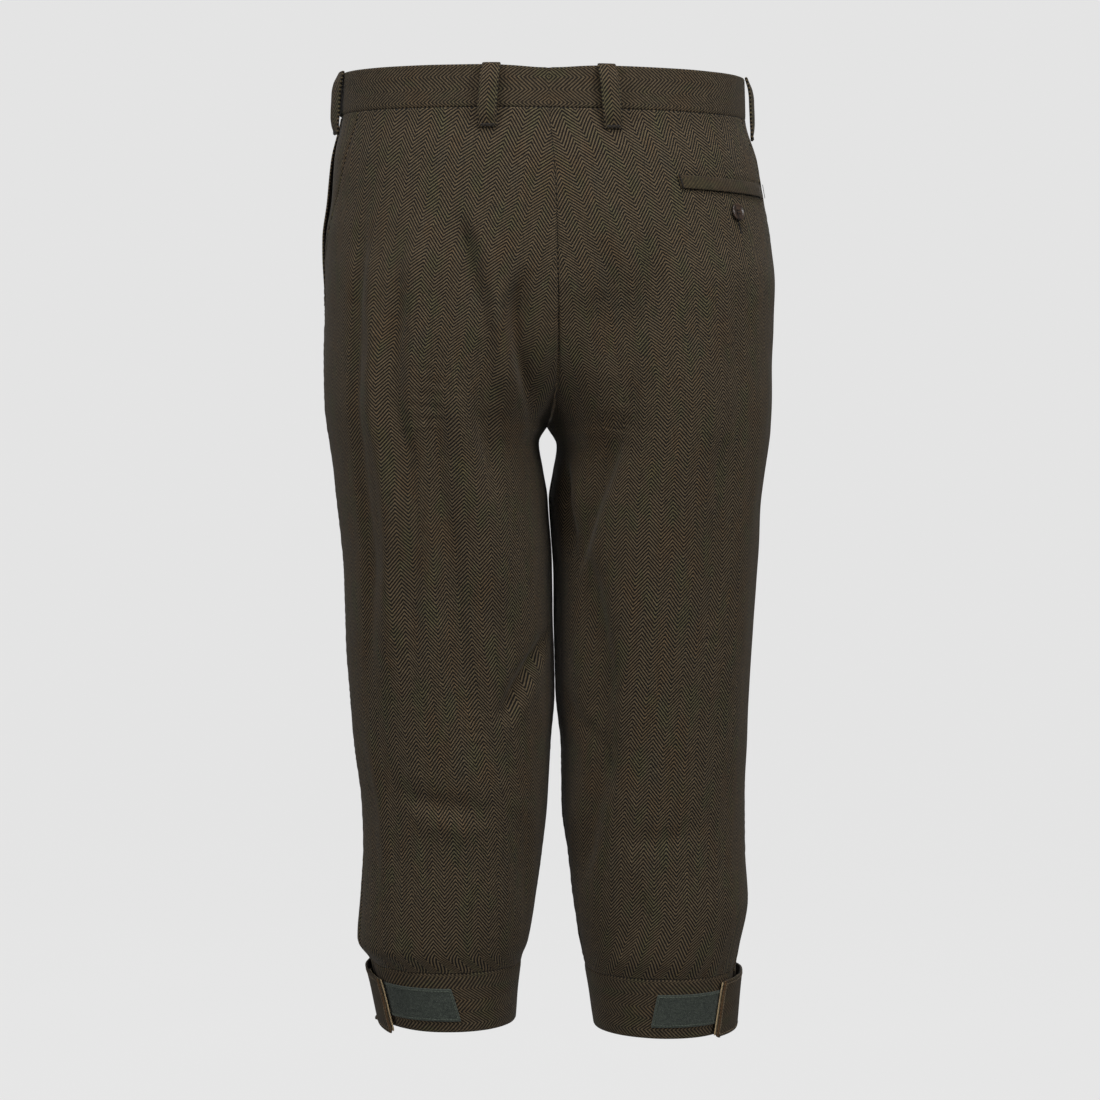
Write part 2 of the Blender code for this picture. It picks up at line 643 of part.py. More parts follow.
def button(name, side, height, distance, out, diameter, parts, cutters):
    """A dished button with a raised rim and four holes, turned about its own axis."""
    radius = diameter / 2
    thick = 3.0 * MM
    rim = 1.4 * MM
    profile = ((0.0, thick - 0.8 * MM), (radius * 0.62, thick - 0.8 * MM),
               (radius - rim, thick), (radius - 0.4 * MM, thick - 0.2 * MM),
               (radius, thick - 0.9 * MM), (radius - 0.9 * MM, 0.0), (0.0, 0.0))
    mesh = bpy.data.meshes.new(name)
    mesh.from_pydata([(r, 0.0, z) for r, z in profile],
                     [(i, i + 1) for i in range(len(profile) - 1)], [])
    made = add_object(name, mesh, "button", parts)
    turn = made.modifiers.new("turn", "SCREW")
    turn.steps = 24
    turn.render_steps = 24
    turn.use_merge_vertices = True
    turn.merge_threshold = 0.00001
    cutter_mesh = bpy.data.meshes.new(name + "_holes")
    drill = bmesh.new()
    for quarter in range(4):
        angle = math.pi / 4 + quarter * math.pi / 2
        hole = bmesh.ops.create_cone(drill, cap_ends=True, segments=8, radius1=0.9 * MM,
                                     radius2=0.9 * MM, depth=3 * thick)
        place = Vector((math.cos(angle), math.sin(angle), 0.0)) * 1.9 * MM
        bmesh.ops.translate(drill, verts=hole["verts"], vec=place)
    drill.to_mesh(cutter_mesh)
    drill.free()
    cutter = bpy.data.objects.new(name + "_holes", cutter_mesh)
    cutters.objects.link(cutter)
    cutter.hide_render = True
    cutter.display_type = "WIRE"
    cut = made.modifiers.new("holes", "BOOLEAN")
    cut.operation = "DIFFERENCE"
    cut.object = cutter
    facing = outward(side, height, distance)
    stand = skin(side, height, distance, out)
    for item in (made, cutter):
        item.rotation_euler = facing.to_track_quat("Z", "Y").to_euler()
        item.location = stand
    return made


def main():
    clear_scene()
    parts = collection("knee_breeches")
    cutters = collection("cutters")
    for side, word in SIDES:
        back_panel(side, word, parts)
        front_panel(side, word, parts)
        pocket_facing(side, word, parts)
        vent_underlap(side, word, parts)
        waistband(side, word, parts)
        cuff(side, word, parts)
    for values in CUFF_DETAILS_MM:
        detail = CuffDetail(*values)
        word = dict(SIDES)[detail.side]
        strap = (detail.tab_end * MM, detail.tab_lift * MM, detail.tab_fall * MM)
        cuff_tab(detail.side, word, *strap, parts)
        hook_tape(detail.side, word, *strap, parts)
        loop_tape(detail.side, word, detail.tape_end * MM, parts)
    for values in LOOPS_MM:
        belt_loop(BeltLoop(*values), parts)
    waist_tab(parts)
    fly_placket(parts)
    back_welt(parts)
    button("back_pocket_button", RIGHT, POCKET_BUTTON_HEIGHT, POCKET_BUTTON_ROUND,
           0.8 * MM, POCKET_BUTTON_DIAMETER, parts, cutters)
    tab_distance = -front_reach(RIGHT, 0.0) + WAIST_BUTTON_IN
    button("waist_button", RIGHT, 0.0, tab_distance, LAYER_GAP + BAND_CLOTH + 0.5 * MM,
           WAIST_BUTTON_DIAMETER, parts, cutters)


main()
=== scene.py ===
"""Tweed knee breeches, finished for show round the rigid model.

Metres, +Z up.  The wearer faces -Y, so the seat is at +Y and +X is the wearer's left.
The origin is the centre of the waist ring, half way up the waistband.

One rule gives all the cloth, as in the rigid model.  Each side of the breeches is a ring
at every height, cut off at the centre seam above the crotch and closed into a leg below
it.  A place on it is a height and a distance round the ring from the outermost line, +
towards the back.  Here the grids are finer, and folds, drag lines, puckers at the seams
and a slow unevenness are laid over the skin before the pieces get their walls.
"""
import math
from collections import namedtuple
from functools import lru_cache

import bmesh
import bpy
import numpy as np
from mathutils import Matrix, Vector


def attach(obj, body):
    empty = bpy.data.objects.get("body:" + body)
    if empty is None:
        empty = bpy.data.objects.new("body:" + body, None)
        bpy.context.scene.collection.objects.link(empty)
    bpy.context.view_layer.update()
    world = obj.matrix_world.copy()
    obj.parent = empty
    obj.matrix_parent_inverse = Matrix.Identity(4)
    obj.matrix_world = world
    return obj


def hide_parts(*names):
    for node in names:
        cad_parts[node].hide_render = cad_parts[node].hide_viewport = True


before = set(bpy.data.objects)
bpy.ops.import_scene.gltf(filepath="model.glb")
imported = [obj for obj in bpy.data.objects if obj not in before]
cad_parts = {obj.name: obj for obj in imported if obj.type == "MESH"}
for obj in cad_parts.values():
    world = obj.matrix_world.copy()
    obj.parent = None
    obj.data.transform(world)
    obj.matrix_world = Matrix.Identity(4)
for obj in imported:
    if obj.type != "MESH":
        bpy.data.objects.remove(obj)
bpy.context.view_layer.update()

MM = 0.001
LEFT = 1
RIGHT = -1
SIDES = ((LEFT, "left"), (RIGHT, "right"))

# --- driving sizes, as in the rigid model -----------------------------------------------
BAND_HEIGHT = 35.0 * MM
WAIST_SEAM = -BAND_HEIGHT / 2
CROTCH = -277.5 * MM
FORK = CROTCH - 9.0 * MM
CUFF_TOP = -739.0 * MM
CUFF_HEIGHT = 52.0 * MM
CUFF_BOTTOM = CUFF_TOP - CUFF_HEIGHT
VENT_TOP = -632.0 * MM
POCKET_LOW = -190.0 * MM

CLOTH = 1.6 * MM
BAND_CLOTH = 2.6 * MM
CUFF_CLOTH = 2.4 * MM
LAYER_GAP = 0.6 * MM

HIP_SLANT = 0.008
RIGHT_LEG_DROP = 6.5 * MM

# Rings: the height, the outer and inner edges of each side across the body, how far the
# cloth stands behind and in front of the side line, how far the trunk has split into
# two legs, and how square the oval is.
SECTION_COLUMNS = ("height", "left_out", "left_in", "right_in", "right_out",
                   "back", "front", "split", "square")
SECTIONS_MM = (
    (17.5, 172.5, 3.0, 3.0, -170.0, 120, 114, 0.00, 2.10),
    (-17.5, 174.5, 3.0, 3.0, -171.5, 124, 117, 0.00, 2.10),
    (-55.0, 181.0, 0.0, 0.0, -182.0, 133, 122, 0.04, 2.15),
    (-90.0, 183.5, -2.0, -2.0, -187.5, 139, 124, 0.08, 2.20),
    (-120.0, 187.0, -2.5, -2.5, -192.5, 142, 124, 0.14, 2.25),
    (-155.0, 187.2, -3.0, -3.0, -195.5, 143, 122, 0.22, 2.45),
    (-190.0, 187.5, -3.5, -3.5, -194.0, 141, 119, 0.35, 2.45),
    (-225.0, 188.3, -3.7, -3.7, -192.5, 138, 116, 0.55, 2.40),
    (-258.0, 188.0, -3.2, -3.2, -193.0, 133.5, 113, 0.85, 2.30),
    (-277.5, 186.3, -2.6, -2.6, -192.5, 131, 111, 1.00, 2.20),
    (-292.0, 184.3, -2.4, -3.4, -191.0, 129, 110, 1.00, 2.20),
    (-315.0, 181.0, -2.3, -4.2, -187.6, 126, 109, 1.00, 2.25),
    (-341.0, 178.0, -2.8, -5.0, -184.5, 122.5, 107, 1.00, 2.30),
    (-393.0, 173.0, -5.9, -7.2, -181.8, 115.5, 103, 1.00, 2.30),
    (-450.0, 171.3, -7.0, -7.9, -178.8, 108, 98, 1.00, 2.25),
    (-505.0, 168.0, -8.0, -9.2, -176.0, 101, 92, 1.00, 2.20),
    (-550.0, 164.5, -5.4, -14.0, -174.0, 95, 86, 1.00, 2.20),
    (-600.0, 158.2, -2.0, -15.0, -173.0, 89, 79, 1.00, 2.20),
    (-640.0, 156.7, 2.0, -19.6, -173.5, 84.5, 74, 1.00, 2.20),
    (-680.0, 158.7, 7.0, -24.5, -176.3, 80.5, 70, 1.00, 2.20),
    (-722.0, 162.0, 14.3, -31.3, -169.0, 75, 68, 1.00, 2.15),
    (-739.0, 151.0, 20.8, -35.2, -166.0, 69, 64, 1.00, 2.10),
    (-791.0, 139.0, 26.0, -43.0, -161.5, 61, 58, 1.00, 2.05),
)

# How far the inner half of each leg draws back from the other just under the fork.
OPENING_COLUMNS = ("height", "left", "right")
OPENING_MM = (
    (-277.5, 0.0, 0.0), (-292.0, 7.4, 7.0), (-315.0, 3.9, 3.0), (-341.0, 0.5, -0.8),
    (-393.0, 0.0, 0.0),
)

SIDE_SEAM_COLUMNS = ("height", "left", "right")
SIDE_SEAM_MM = (
    (17.5, 62, 40), (-55.0, 56, 36), (-115.0, 32, 20), (-150.0, 12, 9), (-185.0, 7, 7),
    (-590.0, 7, 7), (-640.0, 12, 16), (-700.0, 18, 25), (-791.0, 20, 28),
)

# Creases: the side, how far the line stands out (- is a trough), how wide it is towards
# the back and towards the front, a soft roll beside it towards the back, and the height
# and distance round the ring of its top, middle and bottom.
Crease = namedtuple("Crease", ("side", "rise", "to_back", "to_front", "roll",
                               "top", "middle", "bottom"))
CREASES_MM = (
    # left seat and back thigh
    (LEFT, -8.5, 6.5, 9, 1.2, (-98, 180), (-146, 207), (-210, 221)),
    (LEFT, -6.5, 9, 12, 0.0, (-170, 219), (-250, 222), (-350, 212)),
    (LEFT, 3.9, 12, 13, 0.0, (-100, 158), (-190, 160), (-330, 158)),
    (LEFT, 3.9, 8, 8, 0.0, (-150, 231), (-214, 232), (-270, 244)),
    (LEFT, -11.1, 12, 7, 0.0, (-140, 256), (-205, 246), (-282, 284)),
    (LEFT, -8.5, 13, 13, 0.0, (-190, 181), (-390, 166), (-576, 164)),
    (LEFT, 3.9, 18, 14, 0.0, (-220, 205), (-330, 202), (-450, 208)),
    (LEFT, -7.8, 7.0, 7.5, 1.2, (-440, 276), (-488, 219), (-532, 186)),
    (LEFT, 4.9, 8, 8, 0.0, (-110, 110), (-300, 124), (-520, 82)),
    (LEFT, -5.9, 8, 8, 0.0, (-106, 138), (-300, 148), (-540, 102)),
    (LEFT, -4.7, 8, 8, 0.0, (-50, 92), (-280, 102), (-530, 62)),
    (LEFT, 2.3, 10, 10, 0.0, (-500, 62), (-600, 64), (-720, 70)),
    (LEFT, -2.9, 9, 9, 0.0, (-577, 74), (-594, 124), (-596, 180)),
    (LEFT, 1.8, 9, 9, 0.0, (-596, 84), (-612, 124), (-613, 168)),
    (LEFT, -3.1, 13, 13, 0.0, (-590, 190), (-640, 196), (-716, 196)),
    # right seat and back thigh
    (RIGHT, -7.8, 20, 7, 0.0, (-106, 184), (-205, 211), (-300, 226)),
    (RIGHT, -7.8, 18, 9, 0.0, (-256, 224), (-338, 240), (-410, 266)),
    (RIGHT, -5.2, 12, 12, 0.0, (-118, 240), (-180, 238), (-262, 250)),
    (RIGHT, -5.2, 34, 34, 0.0, (-146, 240), (-216, 246), (-286, 266)),
    (RIGHT, -9.1, 11, 11, 0.0, (-296, 306), (-346, 284), (-388, 262)),
    (RIGHT, -7.2, 20, 10, 0.0, (-360, 260), (-450, 212), (-576, 188)),
    (RIGHT, -5.2, 15, 11, 0.0, (-520, 190), (-592, 196), (-676, 220)),
    (RIGHT, 2.6, 20, 22, 0.0, (-176, 160), (-340, 178), (-560, 158)),
    (RIGHT, 2.6, 16, 18, 0.0, (-130, 66), (-360, 84), (-600, 64)),
    (RIGHT, -2.6, 14, 14, 0.0, (-120, 110), (-320, 126), (-520, 108)),
    (RIGHT, -2.0, 10, 10, 0.0, (-604, 92), (-618, 132), (-612, 178)),
    (RIGHT, -2.6, 8, 8, 0.0, (-492, 262), (-520, 226), (-548, 196)),
    (RIGHT, -2.3, 12, 12, 0.0, (-640, 150), (-690, 156), (-730, 160)),
    # left front
    (LEFT, 3.9, 20, 20, 0.0, (-190, -150), (-340, -140), (-500, -112)),
    (LEFT, -4.5, 12, 10, 0.6, (-196, -186), (-232, -222), (-274, -262)),
    (LEFT, -3.6, 10, 10, 0.6, (-224, -158), (-252, -200), (-288, -246)),
    (LEFT, -3.1, 12, 14, 0.0, (-300, -226), (-400, -206), (-540, -170)),
    (LEFT, -3.4, 9, 9, 0.9, (-540, -60), (-556, -104), (-548, -150)),
    (LEFT, -2.6, 9, 9, 0.8, (-592, -74), (-604, -112), (-598, -146)),
    (LEFT, -2.3, 12, 12, 0.0, (-60, -96), (-160, -104), (-260, -100)),
    (LEFT, -3.1, 11, 12, 0.5, (-600, -150), (-660, -140), (-726, -128)),
    # right front
    (RIGHT, 3.9, 20, 20, 0.0, (-195, -146), (-350, -142), (-505, -118)),
    (RIGHT, -4.7, 12, 10, 0.6, (-190, -190), (-236, -218), (-280, -258)),
    (RIGHT, -3.4, 10, 10, 0.6, (-214, -150), (-246, -194), (-286, -240)),
    (RIGHT, -3.1, 12, 14, 0.0, (-310, -222), (-420, -200), (-556, -168)),
    (RIGHT, -3.1, 9, 9, 0.9, (-532, -66), (-550, -112), (-544, -158)),
    (RIGHT, -2.6, 9, 9, 0.8, (-586, -64), (-600, -104), (-592, -140)),
    (RIGHT, -2.3, 12, 12, 0.0, (-56, -88), (-150, -98), (-250, -96)),
    (RIGHT, -2.9, 11, 12, 0.5, (-606, -146), (-664, -138), (-724, -124)),
)
CREASE_FADE = 12.0 * MM
CREASE_TAPER = 0.26
CREASE_STEPS = 40
CREASE_WANDER = 2.2 * MM
CREASE_WANDER_SPACING = 30.0 * MM
# In widths of a crease: how far it reaches, where its roll lies and how wide that is.
CREASE_REACH = 3.2
ROLL_PLACE = 1.9
ROLL_WIDTH = 1.1

# Slow unevenness of the whole cloth, and its small puckers along seams.
UNEVEN = 0.55 * MM
UNEVEN_SPACING = 34.0 * MM
UNEVEN_BELOW_BAND = 40.0 * MM
UNEVEN_ABOVE_CUFF = 25.0 * MM
PUCKER = 0.28 * MM
PUCKER_REACH = 7.0 * MM
PUCKER_LENGTH = 11.0 * MM
PUCKER_DRIFT = 5
PUCKER_DRIFT_SPACING = 26.0 * MM
RING_STEPS = 360
NORMAL_STEP = 1.0 * MM


# --- tables and curves ------------------------------------------------------------------
def columns(names, rows):
    """A table as one array for each column name."""
    return {name: np.array([row[place] for row in rows], dtype=float)
            for place, name in enumerate(names)}


def numbers(names, rows):
    """A table whose columns are all lengths in millimetres, as metres, lowest row first."""
    return {name: values * MM for name, values in columns(names, sorted(rows)).items()}


def smooth(places, values, at):
    """A curve through the rows of a table that never swings past them."""
    step = np.diff(places)
    rise = np.diff(values) / step
    both = rise[1:] * rise[:-1]
    total = np.where(both > 0, rise[1:] + rise[:-1], 1.0)
    slope = np.concatenate([[rise[0]], np.where(both > 0, 2 * both / total, 0.0), [rise[-1]]])
    low = np.clip(np.searchsorted(places, at) - 1, 0, len(step) - 1)
    share = np.clip((at - places[low]) / step[low], 0.0, 1.0)
    eased = share * share * (3 - 2 * share)
    lead = share * (1 - share) ** 2 * slope[low] * step[low]
    trail = share * share * (1 - share) * slope[low + 1] * step[low]
    return values[low] * (1 - eased) + values[low + 1] * eased + lead - trail


def ease(share):
    """0 to 1 with a soft start and end."""
    share = np.clip(share, 0.0, 1.0)
    return share * share * (3 - 2 * share)


SECTIONS = numbers(SECTION_COLUMNS, SECTIONS_MM)
SECTIONS["split"] = SECTIONS["split"] / MM
SECTIONS["square"] = SECTIONS["square"] / MM
SIDE_SEAM = numbers(SIDE_SEAM_COLUMNS, SIDE_SEAM_MM)
OPENING = numbers(OPENING_COLUMNS, OPENING_MM)
CREASES = [Crease(*values) for values in CREASES_MM]


def section(name, height):
    return smooth(SECTIONS["height"], SECTIONS[name], height)


def side_seam(side, height):
    return smooth(SIDE_SEAM["height"], SIDE_SEAM["left" if side == LEFT else "right"], height)


# --- the skin ---------------------------------------------------------------------------
@lru_cache(maxsize=None)
def ring(side, height):
    """Distances round one side's ring at a height, with their places across and along."""
    out = section("left_out" if side == LEFT else "right_out", height)
    inner = section("left_in" if side == LEFT else "right_in", height)
    split = min(section("split", height), 1.0)
    square = section("square", height)
    half = abs(out - inner) / (1 + split)
    end = math.acos(-min(split ** (square / 2), 1.0))
    turn = np.linspace(-end, end, 2 * RING_STEPS + 1)
    reach = np.abs(np.cos(turn)) ** (2 / square) * np.sign(np.cos(turn))
    depth = np.abs(np.sin(turn)) ** (2 / square)
    depth = np.where(turn > 0, depth * section("back", height), -depth * section("front", height))
    across = inner + side * half * (split + reach)
    opening = smooth(OPENING["height"], OPENING["left" if side == LEFT else "right"], height)
    across = across + side * opening * ease(-reach)
    walk = np.concatenate([[0.0], np.cumsum(np.hypot(np.diff(across), np.diff(depth)))])
    return walk - walk[RING_STEPS], across, depth


def back_reach(side, height):
    """Distance from the outermost line back to the centre seam, or to a leg's inseam."""
    return ring(side, height)[0][-1]


def front_reach(side, height):
    return -ring(side, height)[0][0]


def reaches(side, heights):
    """The back and front reach at each of many heights."""
    flat = np.ravel(heights)
    found = np.array([(back_reach(side, float(h)), front_reach(side, float(h))) for h in flat])
    return found[:, 0].reshape(np.shape(heights)), found[:, 1].reshape(np.shape(heights))


def bare(side, heights, distances):
    """Points of the skin with no creases; a leg's ring runs on past its inseam."""
    heights, distances = np.broadcast_arrays(heights, distances)
    flat_heights = np.ravel(heights).astype(float)
    flat_distances = np.ravel(distances).astype(float)
    order = np.argsort(flat_heights, kind="stable")
    starts = np.flatnonzero(np.diff(flat_heights[order], prepend=np.inf) != 0)
    points = np.empty((len(order), 3))
    for start, stop in zip(starts, np.append(starts[1:], len(order))):
        chosen = order[start:stop]
        height = float(flat_heights[chosen[0]])
        walk, across, depth = ring(side, height)
        round_ring = flat_distances[chosen]
        if height <= CROTCH:
            length = walk[-1] - walk[0]
            round_ring = walk[0] + np.mod(round_ring - walk[0], length)
        points[chosen, 0] = np.interp(round_ring, walk, across)
        points[chosen, 1] = np.interp(round_ring, walk, depth)
        points[chosen, 2] = height
    drop = RIGHT_LEG_DROP * points[:, 2] / CUFF_BOTTOM if side == RIGHT else 0.0
    points[:, 2] += HIP_SLANT * points[:, 0] - drop
    return points.reshape(heights.shape + (3,))


def unit(vectors):
    return vectors / np.maximum(np.linalg.norm(vectors, axis=-1, keepdims=True), 1e-12)


def outward(side, heights, distances):
    """The direction out of the cloth at each place."""
    heights, distances = np.broadcast_arrays(heights, distances)
    round_ring = (bare(side, heights, distances + NORMAL_STEP)
                  - bare(side, heights, distances - NORMAL_STEP))
    upward = (bare(side, heights + NORMAL_STEP, distances)
              - bare(side, heights - NORMAL_STEP, distances))
    return unit(np.cross(round_ring, upward) * side)


def lattice_noise(across, along, spacing, seed):
    """A slow, repeatable unevenness from -1 to 1 over a surface measured in metres."""
    size = 64
    knots = np.random.default_rng(seed).uniform(-1, 1, (size, size))
    a, b = np.asarray(across) / spacing, np.asarray(along) / spacing
    low_a, low_b = np.floor(a).astype(int), np.floor(b).astype(int)
    share_a, share_b = ease(a - low_a), ease(b - low_b)
    near = knots[low_a % size, low_b % size] * (1 - share_a)
    near = near + knots[(low_a + 1) % size, low_b % size] * share_a
    far = knots[low_a % size, (low_b + 1) % size] * (1 - share_a)
    far = far + knots[(low_a + 1) % size, (low_b + 1) % size] * share_a
    return near * (1 - share_b) + far * share_b


def crease_rise(side, heights, distances):
    """How far all the creases of one side move the cloth out."""
    total = np.zeros(np.shape(heights))
    wander = CREASE_WANDER * lattice_noise(distances, heights, CREASE_WANDER_SPACING, 5 + side)
    for crease in CREASES:
        if crease.side != side:
            continue
        t = np.linspace(0, 1, CREASE_STEPS)[:, None]
        top, middle, bottom = (np.array(p) * MM for p in (crease.top, crease.middle, crease.bottom))
        path = (top * (1 - t) * (1 - 2 * t) + middle * 4 * t * (1 - t) + bottom * t * (2 * t - 1))
        length = np.sum(np.hypot(*np.diff(path, axis=0).T))
        reach = CREASE_REACH * max(crease.to_back, crease.to_front) * MM + CREASE_WANDER
        near = ((heights > path[:, 0].min() - reach) & (heights < path[:, 0].max() + reach)
                & (distances > path[:, 1].min() - reach) & (distances < path[:, 1].max() + reach))
        if not near.any():
            continue
        here = np.stack([heights[near], distances[near]], axis=-1)
        apart = here[:, None, :] - path[None, :, :]
        nearest = np.argmin(np.sum(apart ** 2, axis=-1), axis=1)
        picked = apart[np.arange(len(here)), nearest]
        share = nearest / (CREASE_STEPS - 1)
        tangent = np.gradient(path, axis=0)[nearest]
        across = unit(np.stack([-tangent[:, 1], tangent[:, 0]], axis=-1))
        across = across * np.where(across[:, 1:] < 0, -1.0, 1.0)
        off = np.sum(picked * across, axis=-1) + wander[near]
        width = np.where(off > 0, crease.to_back, crease.to_front) * MM
        taper = CREASE_FADE + CREASE_TAPER * length
        fade = ease(share * length / taper) * ease((1 - share) * length / taper)
        line = crease.rise * np.exp(-(off / width) ** 2)
        roll = crease.roll * np.exp(-((off / width - ROLL_PLACE) / ROLL_WIDTH) ** 2)
        total[near] += (line + roll) * MM * fade
    return total


def skin(side, heights, distances, out=0.0):
    """Points on the worn cloth, moved out from it by a distance."""
    heights, distances = np.broadcast_arrays(np.asarray(heights, float),
                                             np.asarray(distances, float))
    uneven = UNEVEN * lattice_noise(distances, heights, UNEVEN_SPACING, 11 + side)
    uneven = uneven * ease((WAIST_SEAM - heights) / UNEVEN_BELOW_BAND) * ease(
        (heights - CUFF_TOP) / UNEVEN_ABOVE_CUFF)
    move = out + crease_rise(side, heights, distances) + uneven
    return (bare(side, heights, distances)
            + outward(side, heights, distances) * np.asarray(move)[..., None])


# --- making meshes ----------------------------------------------------------------------
def grid_faces(rows, cols, first=0):
    """Quads of a grid of points numbered row by row."""
    corner = first + np.arange(rows - 1)[:, None] * cols + np.arange(cols - 1)[None, :]
    corner = corner.ravel()
    return np.stack([corner, corner + 1, corner + cols + 1, corner + cols], axis=-1)


def shares(rows, across):
    """How far across and how far down each point of a grid is, from 0 to 1."""
    size = (rows + 1, across + 1)
    return (np.broadcast_to(np.linspace(0, 1, across + 1)[None, :], size),
            np.broadcast_to(np.linspace(0, 1, rows + 1)[:, None], size))


def border_of(rows, cols):
    """Row and column of each border point of a grid, once round."""
    top = [(0, j) for j in range(cols)]
    right = [(i, cols - 1) for i in range(1, rows)]
    low = [(rows - 1, j) for j in range(cols - 2, -1, -1)]
    left = [(i, 0) for i in range(rows - 2, 0, -1)]
    return np.array(top + right + low + left)


def border_directions(points, border):
    """How the surface runs on past each border point: by rows, and by columns."""
    rows, cols = points.shape[:2]
    i, j = border[:, 0], border[:, 1]
    inner_i, inner_j = np.clip(i, 1, rows - 2), np.clip(j, 1, cols - 2)
    return (unit(points[i, j] - points[inner_i, j]) * (i != inner_i)[:, None],
            unit(points[i, j] - points[i, inner_j]) * (j != inner_j)[:, None])


def mesh_object(name, points, faces, material, grain=None):
    """A smooth mesh object from points and quads, with its grain map in metres."""
    mesh = bpy.data.meshes.new(name)
    mesh.from_pydata([tuple(point) for point in points], [], [tuple(face) for face in faces])
    mesh.polygons.foreach_set("use_smooth", np.ones(len(mesh.polygons), bool))
    if grain is not None:
        layer = mesh.uv_layers.new(name="grain")
        corners = np.empty(len(mesh.loops), int)
        mesh.loops.foreach_get("vertex_index", corners)
        layer.data.foreach_set("uv", grain[corners].ravel())
    mesh.materials.append(material)
    made = bpy.data.objects.new(name, mesh)
    bpy.context.scene.collection.objects.link(made)
    return made


RIM_TURNS = (45, 90, 135)


def shell(name, points, facing, wall, grain, material):
    """A wall of cloth with rounded edges under a grid of points.

    facing holds the direction out of the cloth near each point; grain is where each
    point lies on the flat cloth, across and along the weave, in metres.
    """
    rows, cols = points.shape[:2]
    points = points.copy()
    half = wall / 2
    border = border_of(rows, cols)
    i, j = border[:, 0], border[:, 1]
    by_row, by_column = border_directions(points, border)
    points[i, j] -= (by_row + by_column) * half
    normal = unit(np.cross(np.gradient(points, axis=1), np.gradient(points, axis=0)))
    turned = np.sum(normal * facing) < 0
    if turned:
        normal = -normal
    edge_out = unit(by_row + by_column)
    centre = points[i, j] - normal[i, j] * half
    layers = [points.reshape(-1, 3), (points - normal * wall).reshape(-1, 3)]
    for turn in np.radians(RIM_TURNS):
        layers.append(centre + half * (math.cos(turn) * normal[i, j] + math.sin(turn) * edge_out))
    count, around = rows * cols, len(border)
    loops = [i * cols + j]
    loops += [2 * count + around * step + np.arange(around) for step in range(len(RIM_TURNS))]
    loops += [count + i * cols + j]
    faces = [grid_faces(rows, cols), grid_faces(rows, cols, count)[:, ::-1]]
    for near, far in zip(loops[:-1], loops[1:]):
        faces.append(np.stack([near, far, np.roll(far, -1), np.roll(near, -1)], axis=-1))
    faces = np.concatenate(faces)
    if turned:
        faces = faces[:, ::-1]
    flat = grain.reshape(-1, 2)
    flat = np.concatenate([flat, flat] + [grain[i, j]] * len(RIM_TURNS))
    return mesh_object(name, np.concatenate(layers), faces, material, flat)


def lay_cloth(name, side, lay, wall, grain, material, node_name):
    """A sewn piece on one side's skin, from each point's height, distance and lift."""
    heights, distances, out = lay
    return cut_cloth(name, skin(side, heights, distances, out),
                     outward(side, heights, distances), wall, grain, material,
                     [node_name])


def longest_run(points, axis):
    """Length of the longest row (axis 1) or column (axis 0) of a grid of points."""
    return float(np.linalg.norm(np.diff(points, axis=axis), axis=-1).sum(axis=axis).max())


def ride_root(made, nodes=()):
    """Put a finished piece on the body, in place of its solids."""
    if nodes:
        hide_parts(*nodes)
    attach(made, "root")
    return made


def cut_cloth(name, points, facing, wall, grain, material, nodes):
    """A sewn piece: its shell and its place on the body; the size it was cut to is measured but not
    kept.
    """
    made = shell(name, points, facing, wall, grain, material)
    ride_root(made, nodes)
    width, length = longest_run(points, 1), longest_run(points, 0)
    return made


# --- materials --------------------------------------------------------------------------
class Finish:
    """A material's node tree, written as sums and named textures."""

    def __init__(self, name, roughness, **fixed):
        self.material = bpy.data.materials.new(name)
        self.material.use_nodes = True
        self.nodes = self.material.node_tree.nodes
        self.links = self.material.node_tree.links
        self.shader = self.nodes["Principled BSDF"]
        self.shader.inputs["Roughness"].default_value = roughness
        for socket, value in fixed.items():
            self.shader.inputs[socket.replace("_", " ")].default_value = value

    def join(self, value, socket):
        if isinstance(value, bpy.types.NodeSocket):
            self.links.new(value, socket)
        elif value is not None:
            socket.default_value = value

    def add(self, kind, values=(), **settings):
        """A node with its settings, its inputs joined or set by name or number."""
        made = self.nodes.new(kind)
        for name, value in settings.items():
            setattr(made, name, value)
        for key, value in dict(values).items():
            self.join(value, made.inputs[key])
        return made

    def sum(self, operation, *values):
        """One arithmetic step."""
        return self.add("ShaderNodeMath", enumerate(values), operation=operation).outputs[0]

    def shift(self, operation, first, second):
        """One step on a place or direction."""
        values = {0: first}
        values["Scale" if operation == "SCALE" else 1] = second
        return self.add("ShaderNodeVectorMath", values, operation=operation).outputs[0]

    def band(self, value, low, high, to_low=0.0, to_high=1.0):
        """A soft step of a value between two limits."""
        made = self.add("ShaderNodeMapRange", interpolation_type="SMOOTHSTEP")
        for place, item in enumerate((value, low, high, to_low, to_high)):
            self.join(item, made.inputs[place])
        return made.outputs[0]

    def noise(self, place, scale, detail=2.0, roughness=0.5):
        made = self.add("ShaderNodeTexNoise", {"Vector": place, "Scale": scale,
                                               "Detail": detail, "Roughness": roughness})
        return made.outputs[0]

    def blend(self, share, first, second, how="MIX"):
        """Two colours mixed, multiplied or added."""
        made = self.add("ShaderNodeMix", data_type="RGBA", blend_type=how)
        self.join(share, made.inputs["Factor"])
        for socket, value in zip([s for s in made.inputs if s.type == "RGBA"], (first, second)):
            self.join(value, socket)
        return [s for s in made.outputs if s.type == "RGBA"][0]

    def finish(self, color, height=None, depth=0.0001, rough=None):
        self.join(color, self.shader.inputs["Base Color"])
        if rough is not None:
            self.join(rough, self.shader.inputs["Roughness"])
        if height is not None:
            bump = self.add("ShaderNodeBump", {"Height": height, "Distance": depth,
                                               "Strength": 1.0})
            self.join(bump.outputs[0], self.shader.inputs["Normal"])
        return self.material


